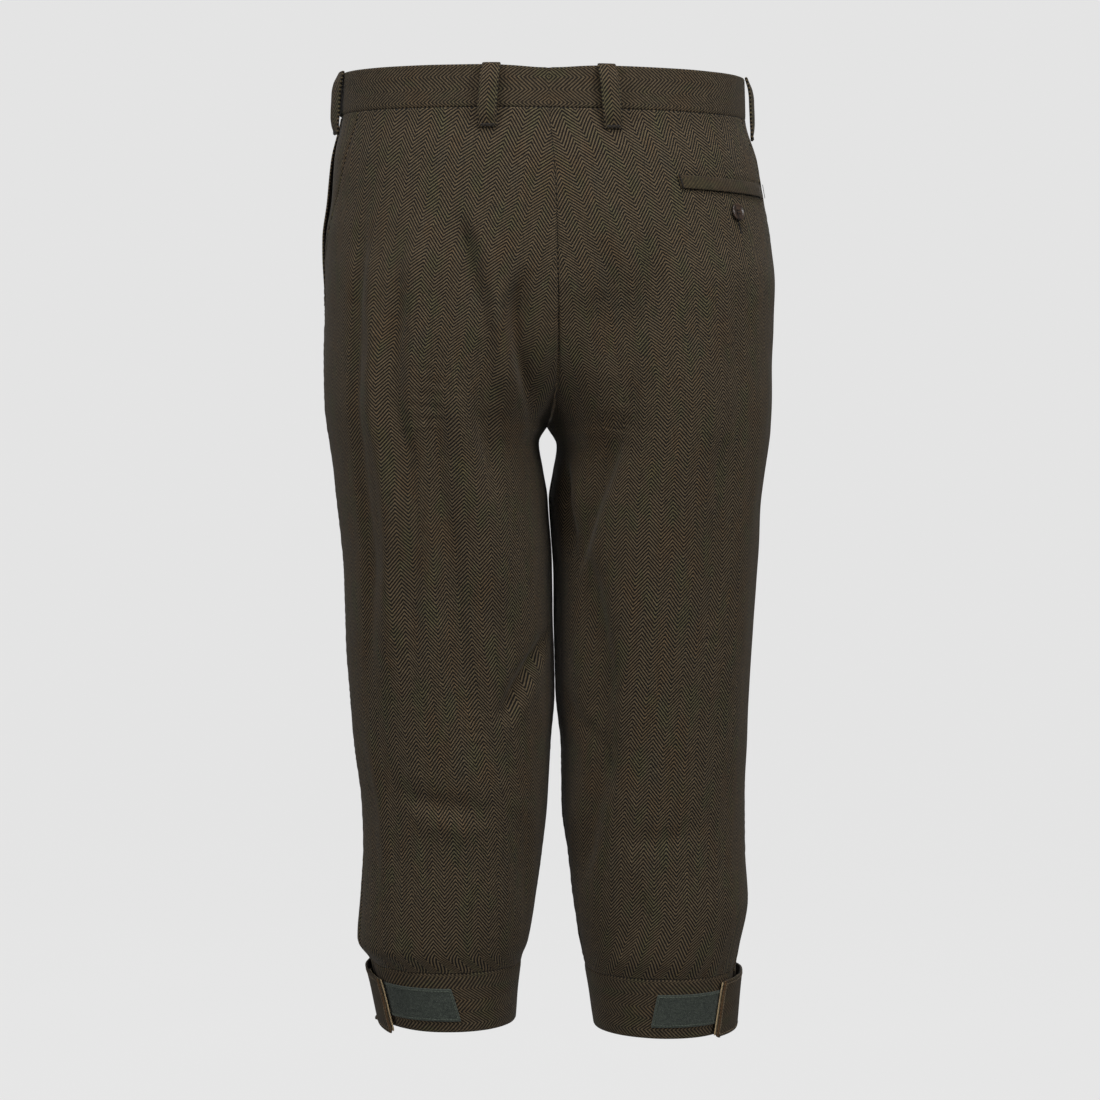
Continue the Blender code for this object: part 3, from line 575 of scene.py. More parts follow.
def rgb(red, green, blue):
    """A linear colour from 0 to 255 display values."""
    return tuple((value / 255 / 12.92) if value < 11 else ((value / 255 + 0.055) / 1.055) ** 2.4
                 for value in (red, green, blue)) + (1.0,)


COLUMN_WIDTH = 10.3
TWILL_STEEPNESS = 1.15
TWILL_PITCH = 3.4
COLUMN_WANDER = 1.2
DARK_YARN = rgb(15, 10, 5)
LIGHT_YARN = rgb(97, 83, 62)
MOSS_TINT = (0.90, 1.04, 0.92, 1.0)
RUST_TINT = (1.05, 0.98, 0.91, 1.0)
SLATE_TINT = (0.93, 0.98, 1.03, 1.0)


def tweed(name, contrast=1.0, tone=1.0):
    """Herringbone tweed: pale and dark yarns in slanted lines that turn at each column."""
    make = Finish(name, 0.86, Sheen_Weight=0.08, Sheen_Roughness=0.5, Specular_IOR_Level=0.25)
    grain = make.shift("SCALE", make.add("ShaderNodeUVMap", uv_map="grain").outputs[0], 1000.0)
    drift = make.add("ShaderNodeTexNoise", {"Vector": grain, "Scale": 0.018, "Detail": 1.0})
    centred = make.shift("SUBTRACT", drift.outputs["Color"], (0.5, 0.5, 0.5))
    place = make.shift("ADD", grain, make.shift("SCALE", centred, COLUMN_WANDER * 2))
    parts = make.add("ShaderNodeSeparateXYZ", {0: place})
    across = make.sum("DIVIDE", parts.outputs[0], COLUMN_WIDTH)
    zigzag = make.sum("PINGPONG", across, 1.0)
    slope = make.sum("MULTIPLY", zigzag, COLUMN_WIDTH * TWILL_STEEPNESS)
    turn = make.sum("MULTIPLY", make.sum("ADD", parts.outputs[1], slope),
                    2 * math.pi / TWILL_PITCH)
    wave = make.sum("MULTIPLY_ADD", make.sum("SINE", turn), 0.5, 0.5)
    # Each pale line is a row of short floats, and no two yarns are quite the same.
    float_turn = make.sum("MULTIPLY", parts.outputs[1], 2 * math.pi / 1.13)
    floats = make.sum("MULTIPLY_ADD", make.sum("SINE", float_turn), 0.10, 0.0)
    fibre = make.noise(place, 1.1, 3.0, 0.65)
    ragged = make.sum("MULTIPLY_ADD", make.sum("SUBTRACT", fibre, 0.5), 1.15, wave)
    pale = make.band(make.sum("ADD", ragged, floats), 0.38, 0.84)
    pale = make.sum("MULTIPLY_ADD", make.sum("SUBTRACT", pale, 0.42), contrast, 0.42)
    column = make.sum("FLOOR", across)
    odd = make.sum("ABSOLUTE", make.sum("SUBTRACT", make.sum("FRACT", make.sum(
        "MULTIPLY", column, 0.5)), 0.25))
    yarn = make.blend(pale, DARK_YARN, LIGHT_YARN)
    # Tones drift along the cloth in long soft patches of moss, rust and slate.
    stretched = make.add("ShaderNodeMapping", {"Vector": grain, "Scale": (1.0, 0.45, 1.0)})
    patches = make.add("ShaderNodeTexNoise", {"Vector": stretched.outputs[0], "Scale": 0.055,
                                              "Detail": 3.0, "Roughness": 0.6})
    tones = make.add("ShaderNodeSeparateColor", {0: patches.outputs["Color"]})
    yarn = make.blend(make.band(tones.outputs[0], 0.50, 0.66), yarn,
                      make.blend(1.0, yarn, MOSS_TINT, "MULTIPLY"))
    yarn = make.blend(make.band(tones.outputs[1], 0.50, 0.66), yarn,
                      make.blend(1.0, yarn, RUST_TINT, "MULTIPLY"))
    yarn = make.blend(make.band(tones.outputs[2], 0.54, 0.70), yarn,
                      make.blend(1.0, yarn, SLATE_TINT, "MULTIPLY"))
    mottle = make.noise(place, 0.16, 3.0, 0.6)
    speck = make.noise(place, 0.62, 1.0, 0.5)
    light = make.sum("MULTIPLY_ADD", make.sum("SUBTRACT", mottle, 0.5), 0.80, tone)
    light = make.sum("MULTIPLY_ADD", make.sum("SUBTRACT", speck, 0.5), 0.95, light)
    light = make.sum("MULTIPLY_ADD", make.sum("SUBTRACT", odd, 0.125), 0.25, light)
    shade = make.add("ShaderNodeCombineXYZ", {0: light, 1: light, 2: light})
    color = make.blend(1.0, yarn, shade.outputs[0], "MULTIPLY")
    nap = make.noise(place, 2.4, 2.0, 0.7)
    relief = make.sum("ADD", make.sum("MULTIPLY", pale, 0.7), make.sum("MULTIPLY", nap, 0.5))
    rough = make.sum("MULTIPLY_ADD", nap, 0.12, 0.80)
    return make.finish(color, relief, 0.00022, rough)


def thread_finish(name, color):
    """Twisted sewing thread."""
    make = Finish(name, 0.6, Sheen_Weight=0.1, Specular_IOR_Level=0.4)
    place = make.add("ShaderNodeTexCoord").outputs["Object"]
    twist = make.noise(place, 2600.0, 1.0, 0.5)
    color_node = make.blend(make.band(twist, 0.35, 0.65), tuple(c * 0.6 for c in color[:3]) + (1,),
                            color)
    return make.finish(color_node, twist, 0.00008)


def tape_finish(name, base, fleck, scale):
    """Woven nylon tape with a fuzzy, speckled face."""
    make = Finish(name, 0.8, Sheen_Weight=0.25, Sheen_Roughness=0.6, Specular_IOR_Level=0.3)
    place = make.add("ShaderNodeTexCoord").outputs["Object"]
    fuzz = make.noise(place, scale, 3.0, 0.7)
    clump = make.noise(place, scale * 0.3, 2.0, 0.6)
    share = make.sum("ADD", make.sum("MULTIPLY", fuzz, 0.65), make.sum("MULTIPLY", clump, 0.35))
    color = make.blend(make.band(share, 0.40, 0.64), base, fleck)
    return make.finish(color, share, 0.0004)


def horn_finish(name):
    """Dark brown horn-look button resin, with paler streaks and a satin gloss."""
    make = Finish(name, 0.34, Coat_Weight=0.25, Coat_Roughness=0.25, Specular_IOR_Level=0.5)
    place = make.add("ShaderNodeTexCoord").outputs["Object"]
    drawn = make.add("ShaderNodeMapping", {"Vector": place, "Scale": (1.0, 1.0, 0.35)})
    streak = make.noise(drawn.outputs[0], 260.0, 4.0, 0.6)
    color = make.blend(make.band(streak, 0.38, 0.68), rgb(34, 25, 20), rgb(80, 62, 50))
    scuffs = make.noise(place, 1800.0, 2.0, 0.6)
    rough = make.sum("MULTIPLY_ADD", scuffs, 0.25, 0.24)
    return make.finish(color, scuffs, 0.00003, rough)


# --- finishes ---------------------------------------------------------------------------
TWEED = tweed("herringbone_tweed")
TWEED_BAND = tweed("herringbone_tweed_band", contrast=0.85, tone=0.94)
TWEED_FLAT = tweed("tweed_trim", contrast=0.35, tone=0.86)
TAPE_GREEN = tape_finish("loop_tape_green", rgb(36, 44, 38), rgb(74, 82, 72), 1500.0)
TAPE_TAN = tape_finish("hook_tape_tan", rgb(150, 128, 92), rgb(196, 172, 132), 2200.0)
GREEN_THREAD = thread_finish("green_thread", rgb(96, 106, 92))
RUST_THREAD = thread_finish("rust_thread", rgb(124, 82, 40))
DARK_THREAD = thread_finish("dark_thread", rgb(34, 27, 20))
PALE_THREAD = thread_finish("pale_thread", rgb(150, 130, 102))
HORN = horn_finish("horn_resin")


# --- the four leg panels ----------------------------------------------------------------
BACK_COLUMNS = 140
FRONT_COLUMNS = 104
EDGE_CROWDING = 0.35
# Rows of points over the trunk, the seat, the fork and the legs.
ROWS = (62, 46, 5, 160)
SEAT_CROWDING = 1.6
SEAM_DIP = 0.6 * MM
SEAM_DIP_REACH = 2.2 * MM
HEM_EASE = 0.7 * MM
HEM_EASE_REACH = 13.0 * MM
HEM_EASE_SPACING = 6.5 * MM
HEM_EASE_STRETCH = 0.3
# How far the herringbone's columns have moved outwards by each height: those of the whole
# back panel, and those as far round the ring as the centre seams.
GRAIN_OVER = 240.0 * MM
GRAIN_COLUMNS = ("height", "all", "near")
GRAIN_MM = (
    (-17.5, 17.0, -20.0), (-60.0, 8.0, -14.0), (-100.0, 3.0, -9.0), (-190.0, -5.0, 6.0),
    (-260.0, -5.0, 17.0), (-420.0, 13.0, 21.0), (-640.0, 24.0, 22.0), (-740.0, 24.0, 22.0),
)
GRAIN = numbers(GRAIN_COLUMNS, GRAIN_MM)
# How much the rows slope across the columns at the waist, and over what height that fades.
ROW_SLOPE = 0.25
ROW_SLOPE_FADES = 420.0 * MM
POCKET_MOUTH_TOP = -15.0 * MM
POCKET_MOUTH_LIFT = 2.2 * MM
POCKET_MOUTH_REACH = 12.0 * MM
POCKET_UNDERLAP = 14.0 * MM
UNDER_DEPTH = 2.3 * MM
VENT_UNDERLAP = 22.0 * MM
VENT_SETBACK = 8.0 * MM
VENT_TAPER = 14.0 * MM


def panel_heights():
    """Row heights of a leg panel, closer together near the crotch."""
    trunk = np.linspace(WAIST_SEAM, POCKET_LOW, ROWS[0])
    seat = CROTCH + (POCKET_LOW - CROTCH) * np.linspace(1, 0, ROWS[1]) ** SEAT_CROWDING
    fork = np.linspace(CROTCH, FORK, ROWS[2])
    legs = np.linspace(FORK, CUFF_TOP, ROWS[3])
    return np.concatenate([trunk, seat[1:], fork[1:], legs[1:]])


HEIGHTS = panel_heights()


def front_edge(side, heights):
    """Outer edge of the front panel: the side seam, the pocket's slant or the vent."""
    seam = side_seam(side, heights)
    rise = np.clip((heights - POCKET_LOW) / (WAIST_SEAM - POCKET_LOW), 0.0, 1.0)
    low = side_seam(side, np.array(POCKET_LOW))
    vent = seam - VENT_SETBACK * ease((VENT_TOP - heights) / VENT_TAPER)
    return np.where(heights > POCKET_LOW, low + (POCKET_MOUTH_TOP - low) * rise, vent)


def spread(u):
    """Closer columns at both edges of a panel."""
    return u - EDGE_CROWDING * np.sin(2 * math.pi * u) / (2 * math.pi)


def seam_work(from_edge, along, seed):
    """The cloth dips into a seam and puckers unevenly beside it."""
    drift = PUCKER_DRIFT * lattice_noise(along, along, PUCKER_DRIFT_SPACING, seed)
    beat = 2 * math.pi * along / PUCKER_LENGTH + drift
    pucker = PUCKER * np.sin(beat) * np.exp(-(from_edge / PUCKER_REACH) ** 2)
    return pucker - SEAM_DIP * np.exp(-(from_edge / SEAM_DIP_REACH) ** 2)


def hem_work(heights, distances, seed):
    """Small easings where the leg is drawn into the cuff."""
    above = (heights - CUFF_TOP) / HEM_EASE_REACH
    wave = lattice_noise(distances, heights * HEM_EASE_STRETCH, HEM_EASE_SPACING, seed)
    return HEM_EASE * wave * np.exp(-above ** 2)


def panel_grain(heights, distances, behind):
    """The flat cloth's place: the columns lean in towards the centre seams."""
    near = distances / GRAIN_OVER * smooth(GRAIN["height"], GRAIN["near"], heights)
    moved = smooth(GRAIN["height"], GRAIN["all"], heights) if behind else 0.0
    slope = ROW_SLOPE * ease(1 + heights / ROW_SLOPE_FADES)
    return np.stack([distances + near + moved, heights + slope * np.abs(distances)], axis=-1)


def back_panel(side, word):
    """From the centre seam and inseam out to the side seam."""
    u = spread(np.linspace(0, 1, BACK_COLUMNS + 1))[None, :]
    heights = np.repeat(HEIGHTS[:, None], BACK_COLUMNS + 1, axis=1)
    inner = reaches(side, HEIGHTS)[0][:, None]
    outer = side_seam(side, HEIGHTS)[:, None]
    distances = outer + (inner - outer) * u
    out = (seam_work(distances - outer, heights, 3 + side)
           + seam_work(inner - distances, heights, 23 + side)
           + hem_work(heights, distances, 31 + side)
           + welt_bed(side, heights, distances))
    lay_cloth(f"back_panel_{word}", side, (heights, distances, out), CLOTH,
              panel_grain(heights, distances, True), TWEED, f"back_{word}")


def front_panel(side, word):
    """From the centre front seam and inseam out to the pocket edge and side seam."""
    u = spread(np.linspace(0, 1, FRONT_COLUMNS + 1))[None, :]
    heights = np.repeat(HEIGHTS[:, None], FRONT_COLUMNS + 1, axis=1)
    inner = -reaches(side, HEIGHTS)[1][:, None]
    outer = front_edge(side, HEIGHTS)[:, None]
    distances = outer + (inner - outer) * u
    from_edge = outer - distances
    mouth = (heights - POCKET_LOW) / (WAIST_SEAM - POCKET_LOW)
    lift = np.where(mouth > 0, np.sin(math.pi * np.clip(mouth, 0, 1)), 0.0)
    lift = POCKET_MOUTH_LIFT * lift * np.exp(-(from_edge / POCKET_MOUTH_REACH) ** 2)
    seam = np.where(mouth > 0, 0.0, seam_work(from_edge, heights, 5 + side))
    out = (lift + seam + seam_work(distances - inner, heights, 27 + side)
           + hem_work(heights, distances, 37 + side))
    lay_cloth(f"front_panel_{word}", side, (heights, distances, out), CLOTH,
              panel_grain(heights, distances, False), TWEED, f"front_{word}")


def tucked(heights, start, reach, sunk_by, columns_across):
    """A piece that leaves its seam level and then goes under the next panel."""
    u = np.linspace(0, 1, columns_across + 1)[None, :]
    distances = start[:, None] + reach[:, None] * u
    flat = np.abs(reach) / 8
    sink = UNDER_DEPTH * ease((np.abs(reach)[:, None] * u - flat[:, None])
                              / (sunk_by - flat)[:, None])
    high = np.repeat(heights[:, None], columns_across + 1, axis=1)
    return high, distances, -sink


def pocket_facing(side, word):
    """The cloth behind the slanted pocket mouth, from the side seam to under the front."""
    heights = np.linspace(WAIST_SEAM, POCKET_LOW + 12 * MM, 70)
    seam = side_seam(side, heights)
    mouth = seam - front_edge(side, heights)
    high, distances, out = tucked(heights, seam, -(mouth + POCKET_UNDERLAP),
                                  np.maximum(mouth * 0.8, 9 * MM), 26)
    out = out + seam_work(seam[:, None] - distances, high, 41 + side)
    lay_cloth(f"pocket_facing_{word}", side, (high, distances, out), CLOTH,
              np.stack([distances, high], axis=-1), TWEED, f"pocket_facing_{word}")


def vent_underlap(side, word):
    """The front's extension under the back's edge at the side vent."""
    heights = np.linspace(VENT_TOP - VENT_TAPER, CUFF_TOP, 46)
    start = front_edge(side, heights)
    reach = np.full_like(start, VENT_SETBACK + VENT_UNDERLAP)
    high, distances, out = tucked(heights, start, reach,
                                  np.full_like(start, VENT_SETBACK), 16)
    lay_cloth(f"vent_underlap_{word}", side, (high, distances, out), CLOTH,
              np.stack([distances, high], axis=-1), TWEED, f"vent_underlap_{word}")


# --- waistband, fly and belt loops ------------------------------------------------------
CENTRE_DIP = 2.6 * MM
CENTRE_DIP_WIDTH = 28.0 * MM
BAND_UNEVEN = 0.35 * MM
BAND_UNEVEN_SPACING = 22.0 * MM
BAND_GRAIN_START = 3.1 * MM
# Each half reaches a hair past the centre back, so that no light shows between them.
BAND_MEET = 0.9 * MM
# How the band's lower edge and the cuffs' upper edge turn in.
EDGE_TURN = 0.5 * MM
EDGE_TURN_REACH = 2.5 * MM
WAIST_TAB_REACH = 38.0 * MM
WAIST_TAB_TRIM = 0.5 * MM
FLY_TOP = WAIST_SEAM - 1.0 * MM
FLY_LENGTH = 165.0 * MM
FLY_WIDTH = 36.0 * MM
FLY_OVERLAP = 8.0 * MM
FLY_TOE = 9.0 * MM
FLY_CURVE_FROM = 0.72
FLY_CLOTH = 1.4 * MM
FLY_LIFT = 1.5 * MM
LOOP_WIDTH = 15.5 * MM
LOOP_TOP = 19.0 * MM
LOOP_LENGTH = 54.0 * MM
LOOP_CLOTH = 2.2 * MM
LOOP_SPLAY = 4.5
LOOP_CROWN = 0.35 * MM
BeltLoop = namedtuple("BeltLoop", ("name", "side", "seam", "from_seam", "gap", "twist"))
LOOPS_MM = (
    ("belt_loop_back_left", LEFT, "back", 46.5, 6.8, 0.0),
    ("belt_loop_back_right", RIGHT, "back", 46.5, 6.8, 0.0),
    ("belt_loop_side_left", LEFT, "side", 20.5, 4.4, 4.2),
    ("belt_loop_side_right", RIGHT, "side", 11.5, 4.8, 3.2),
    ("belt_loop_front_left", LEFT, "front", 72.0, 7.4, 0.0),
    ("belt_loop_front_right", RIGHT, "front", 72.0, 7.4, 0.0),
)
BOW_COLUMNS = ("along", "share")
BOW_SHARES = ((0.0, 0.06), (0.09, 0.42), (0.20, 0.82), (0.35, 1.0), (0.55, 1.0), (0.72, 0.93),
              (0.86, 0.62), (0.95, 0.2), (1.0, 0.07))


def waistband(side, word):
    """Half of the waistband, from the centre back seam to the centre front."""
    u, v = shares(14, 150)
    low = WAIST_SEAM
    high = BAND_HEIGHT / 2
    length = back_reach(side, low) + front_reach(side, low)
    dip = CENTRE_DIP * np.exp(-(length * u / CENTRE_DIP_WIDTH) ** 2)
    heights = np.round(high - dip + (low - high + dip) * v, 5)
    rear, fore = reaches(side, heights)
    distances = rear + (-fore - rear) * u
    uneven = BAND_UNEVEN * lattice_noise(distances, heights, BAND_UNEVEN_SPACING, 51 + side)
    seam = seam_work(rear - distances, heights, 53)
    lower = -EDGE_TURN * np.exp(-((heights - low) / EDGE_TURN_REACH) ** 2)
    points = skin(side, heights, distances, uneven + seam + lower)
    points[:, 0, 0] -= side * BAND_MEET
    grain = np.stack([heights + BAND_GRAIN_START, distances], axis=-1)
    cut_cloth(f"waistband_{word}", points, outward(side, heights, distances), BAND_CLOTH,
              grain, TWEED_BAND, [f"waistband_{word}"])


def front_lay(heights, from_seam, out):
    """Points and outward directions at the front, where + is to the wearer's left."""
    points = np.empty(heights.shape + (3,))
    facing = np.empty_like(points)
    out = np.broadcast_to(out, heights.shape)
    for side in (LEFT, RIGHT):
        here = (from_seam >= 0) if side == LEFT else (from_seam < 0)
        if not here.any():
            continue
        fore = reaches(side, heights[here])[1]
        distances = -fore + np.abs(from_seam[here])
        points[here] = skin(side, heights[here], distances, out[here])
        facing[here] = outward(side, heights[here], distances)
    return points, facing


def waist_tab():
    """The left end of the waistband, lapped over the right and buttoned."""
    u, v = shares(12, 16)
    high = BAND_HEIGHT / 2 - WAIST_TAB_TRIM
    heights = np.round(high + (WAIST_SEAM + WAIST_TAB_TRIM - high) * v, 5)
    from_seam = -WAIST_TAB_REACH * u - 0.01 * MM
    points, facing = front_lay(heights, from_seam, LAYER_GAP + BAND_CLOTH)
    grain = np.stack([heights + BAND_GRAIN_START, from_seam], axis=-1)
    return cut_cloth("waist_tab_end", points, facing, BAND_CLOTH, grain, TWEED_BAND,
                     ["waist_tab"])


def fly_width(v):
    """Width of the fly at a share of its length, rounded off at the lower end."""
    past = np.maximum((v - FLY_CURVE_FROM) / (1 - FLY_CURVE_FROM), 0.0)
    return FLY_TOE + (FLY_WIDTH - FLY_TOE) * np.sqrt(np.clip(1 - past ** 2, 0.0, 1.0))


def fly_placket():
    """The fly: a strip over the front seam, rounded at its lower end."""
    u, v = shares(63, 14)
    heights = FLY_TOP - FLY_LENGTH * v
    from_seam = fly_width(v) * u - FLY_OVERLAP * (1 - u)
    points, facing = front_lay(heights, from_seam, FLY_LIFT + FLY_CLOTH)
    grain = np.stack([from_seam - 0.231, heights], axis=-1)
    return cut_cloth("fly_front", points, facing, FLY_CLOTH, grain, TWEED,
                     ["fly_placket"])


def loop_lay(loop, u, v, lift=0.0):
    """A place on a belt loop: u across from 0 to 1, v down from 0 to 1."""
    bow = columns(BOW_COLUMNS, BOW_SHARES)
    heights = np.round(LOOP_TOP - LOOP_LENGTH * v, 5)
    rear, fore = reaches(loop.side, heights)
    away = (loop.from_seam + LOOP_SPLAY * v) * MM
    middle = {"back": rear - away, "front": -fore + away,
              "side": np.full_like(heights, loop.from_seam * MM)}[loop.seam]
    distances = middle + LOOP_WIDTH * (u - 0.5)
    stand = smooth(bow["along"], bow["share"], v) * loop.gap * MM
    edge = np.abs(u - 0.5) * 2
    crown = LOOP_CROWN * (1 - edge ** 4)
    stand = stand + loop.twist * stand / loop.gap * (0.5 - u)
    return heights, distances, stand + LOOP_CLOTH + crown - LOOP_CROWN + lift


def belt_loop(loop):
    """A folded strip that stands off the band and is sewn down at both ends."""
    u, v = shares(30, 8)
    lay = loop_lay(loop, u, v)
    grain = np.stack([(u - 0.5) * LOOP_WIDTH + 2 * COLUMN_WIDTH * MM, lay[0]], axis=-1)
    lay_cloth(loop.name + "_strip", loop.side, lay, LOOP_CLOTH, grain, TWEED, loop.name)


# --- back pocket ------------------------------------------------------------------------
WELT_INNER = 156.0 * MM
WELT_OUTER = 38.0 * MM
WELT_HEIGHT = 11.0 * MM
WELT_MIDDLE = -77.0 * MM
WELT_FALL = 3.0 * MM
WELT_CLOTH = 1.2 * MM
WELT_LIFT = 0.9 * MM
WELT_MOUTH = 1.6 * MM
WELT_SUNK = 1.8 * MM
WELT_SUNK_OUTER = 22.0 * MM
WELT_SUNK_INNER = 4.0 * MM
WELT_CROWN = 0.5 * MM
WELT_BED_INNER = 6.0 * MM
WELT_BED_OUTER = 8.0 * MM
POCKET_BUTTON_ROUND = 103.0 * MM
POCKET_BUTTON_HEIGHT = -98.5 * MM


def welt_line(distances):
    """Height of the welt's middle line at a distance round the ring."""
    return WELT_MIDDLE - WELT_FALL * ((distances - WELT_INNER) / (WELT_OUTER - WELT_INNER) - 0.5)


def welt_bed(side, heights, distances):
    """The back panel sinks a little where the welt is let in."""
    if side == LEFT:
        return np.zeros_like(heights)
    along = ease((WELT_INNER - distances) / WELT_BED_INNER) * ease(
        (distances - WELT_OUTER + WELT_BED_OUTER) / WELT_BED_OUTER)
    off = (heights - welt_line(distances)) / (WELT_HEIGHT * 0.72)
    return -WELT_MOUTH * along * np.exp(-off ** 4)


def back_welt():
    """The single welt of the back pocket, on the wearer's right only."""
    u, v = shares(12, 80)
    distances = WELT_INNER + (WELT_OUTER - WELT_INNER) * u
    heights = np.round(welt_line(distances) - WELT_HEIGHT * (v - 0.5), 5)
    crown = WELT_CROWN * (1 - (2 * v - 1) ** 2)
    sunk = WELT_SUNK * ease(1 - (distances - WELT_OUTER) / WELT_SUNK_OUTER)
    sunk = sunk + WELT_SUNK * ease(1 - (WELT_INNER - distances) / WELT_SUNK_INNER) / 2
    lay_cloth("back_pocket_welt", RIGHT,
              (heights, distances, WELT_LIFT + WELT_CLOTH + crown - sunk), WELT_CLOTH,
              np.stack([heights, distances], axis=-1), TWEED_FLAT, "back_welt")


# --- cuffs, tabs and tapes --------------------------------------------------------------
CUFF_LIFT = 0.5 * MM
CUFF_SLIT = 5.0 * MM
CUFF_UNEVEN = 0.4 * MM
CUFF_UNEVEN_SPACING = 24.0 * MM
TAPE_HEIGHT = 29.0 * MM
TAPE_CLOTH = 1.0 * MM
TAPE_START = 12.0 * MM
HOOK_WIDTH = 30.0 * MM
HOOK_SHOWS = 0.8 * MM
TAB_CLOTH = 2.0 * MM
TAB_ROOT = -30.0 * MM
TAB_WAVE = 0.5 * MM
TAB_WAVE_SPACING = 17.0 * MM
CuffDetail = namedtuple("CuffDetail", ("side", "tab_end", "tab_lift", "tab_fall", "tape_end"))
CUFF_DETAILS_MM = (
    (LEFT, 40, 1.8, 6, 104),
    (RIGHT, 54, 0.6, 2, 112),
)


def cuff(side, word):
    """The knee cuff, a band that is open at the outer side."""
    u, v = shares(20, 150)
    low, high = CUFF_BOTTOM, CUFF_TOP
    heights = np.round(high + (low - high) * v, 5)
    rear, fore = reaches(side, heights)
    distances = side_seam(side, heights) + (rear + fore - CUFF_SLIT) * u
    uneven = CUFF_UNEVEN * lattice_noise(distances, heights, CUFF_UNEVEN_SPACING, 61 + side)
    upper = -EDGE_TURN * np.exp(-((high - heights) / EDGE_TURN_REACH) ** 2)
    lay_cloth(f"cuff_band_{word}", side, (heights, distances, CUFF_LIFT + uneven + upper),
              CUFF_CLOTH, np.stack([heights, distances], axis=-1), TWEED_BAND,
              f"cuff_{word}")


def strap_height(distances, v, fall, end, trim):
    """Height of a place on a tab that drops towards its end."""
    along = (distances - TAB_ROOT) / (end - TAB_ROOT)
    middle = CUFF_TOP - CUFF_HEIGHT / 2 - fall * along
    return np.round(middle + (CUFF_HEIGHT - trim) * (0.5 - v), 5)


def tab_lay(detail, u, v, lift=0.0):
    """A place on a cuff tab: u from its root to its end, v down from 0 to 1."""
    end = detail.tab_end * MM
    base = CUFF_LIFT + LAYER_GAP
    over = base + 2 * (TAPE_CLOTH + LAYER_GAP)
    distances = TAB_ROOT + (end - TAB_ROOT) * u
    heights = strap_height(distances, v, detail.tab_fall * MM, end, 2 * MM)
    climb = ease((distances - TAB_ROOT - 6 * MM) / (24 * MM))
    curl = climb * np.maximum(distances / end, 0.0) ** 2
    stand = base + (over - base) * climb + detail.tab_lift * MM * curl
    wave = TAB_WAVE * lattice_noise(distances, heights, TAB_WAVE_SPACING, 71 + detail.side) * curl
    return heights, distances, stand + TAB_CLOTH + wave + lift


def cuff_tab(detail, word):
    """The tab from the front of the cuff, over the slit and on to the tape."""
    u, v = shares(30, 44)
    lay = tab_lay(detail, u, v)
    lay_cloth(f"cuff_tab_{word}_strap", detail.side, lay, TAB_CLOTH,
              np.stack(lay[:2], axis=-1), TWEED_FLAT, f"cuff_tab_{word}")


def hook_tape(detail, word):
    """The hooked half of the tape, sewn under the tab's end."""
    u, v = shares(24, 16)
    end = detail.tab_end * MM
    start = end - HOOK_WIDTH
    distances = start + (HOOK_WIDTH + HOOK_SHOWS) * u
    heights = strap_height(distances, v, detail.tab_fall * MM, end, 6 * MM)
    stand = CUFF_LIFT + 2 * LAYER_GAP + TAPE_CLOTH
    stand = stand + detail.tab_lift * MM * (np.maximum(distances, 0.0) / end) ** 2
    lay_cloth(f"hook_tape_{word}_strip", detail.side, (heights, distances, stand + TAPE_CLOTH),
              TAPE_CLOTH, np.stack([heights, distances], axis=-1), TAPE_TAN,
              f"hook_tape_{word}")


def tape_lay(detail, u, v, lift=0.0):
    """A place on the looped tape on the back of the cuff."""
    middle = CUFF_TOP - CUFF_HEIGHT / 2 - 1 * MM
    start = side_seam(detail.side, np.array(middle)) + TAPE_START
    distances = start + (detail.tape_end * MM - start) * u
    heights = np.round(middle + TAPE_HEIGHT * (0.5 - v), 5)
    return heights, distances, CUFF_LIFT + LAYER_GAP + TAPE_CLOTH + lift


def loop_tape(detail, word):
    """The looped half of the tape, sewn on the back of the cuff."""
    u, v = shares(16, 50)
    lay = tape_lay(detail, u, v)
    lay_cloth(f"loop_tape_{word}_strip", detail.side, lay, TAPE_CLOTH,
              np.stack(lay[:2], axis=-1), TAPE_GREEN, f"loop_tape_{word}")


# --- repeated work: stitches, bar tacks and the fuzz of the tape ------------------------
def plan_tree(name, sizes):
    """An empty geometry tree whose inputs are a mesh, named sizes and a material."""
    tree = bpy.data.node_groups.new(name, "GeometryNodeTree")
    tree.interface.new_socket("Geometry", in_out="INPUT", socket_type="NodeSocketGeometry")
    for size in sizes:
        tree.interface.new_socket(size, in_out="INPUT", socket_type="NodeSocketFloat")
    tree.interface.new_socket("Material", in_out="INPUT", socket_type="NodeSocketMaterial")
    tree.interface.new_socket("Geometry", in_out="OUTPUT", socket_type="NodeSocketGeometry")
    return tree, tree.nodes.new("NodeGroupInput"), tree.nodes.new("NodeGroupOutput")


def node(tree, kind, inputs=(), **settings):
    """A node of a geometry tree, its inputs joined or set by name or number."""
    made = tree.nodes.new(kind)
    for name, value in settings.items():
        setattr(made, name, value)
    for key, value in dict(inputs).items():
        if isinstance(value, bpy.types.NodeSocket):
            tree.links.new(value, made.inputs[key])
        else:
            made.inputs[key].default_value = value
    return made


def close_tree(tree, instances, given, end):
    """Real geometry, smooth, with its material, at the end of a tree."""
    real = node(tree, "GeometryNodeRealizeInstances", {0: instances})
    even = node(tree, "GeometryNodeSetShadeSmooth", {0: real.outputs[0]})
    dressed = node(tree, "GeometryNodeSetMaterial", {0: even.outputs[0],
                                                     "Material": given.outputs["Material"]})
    tree.links.new(dressed.outputs[0], end.inputs[0])
    return tree


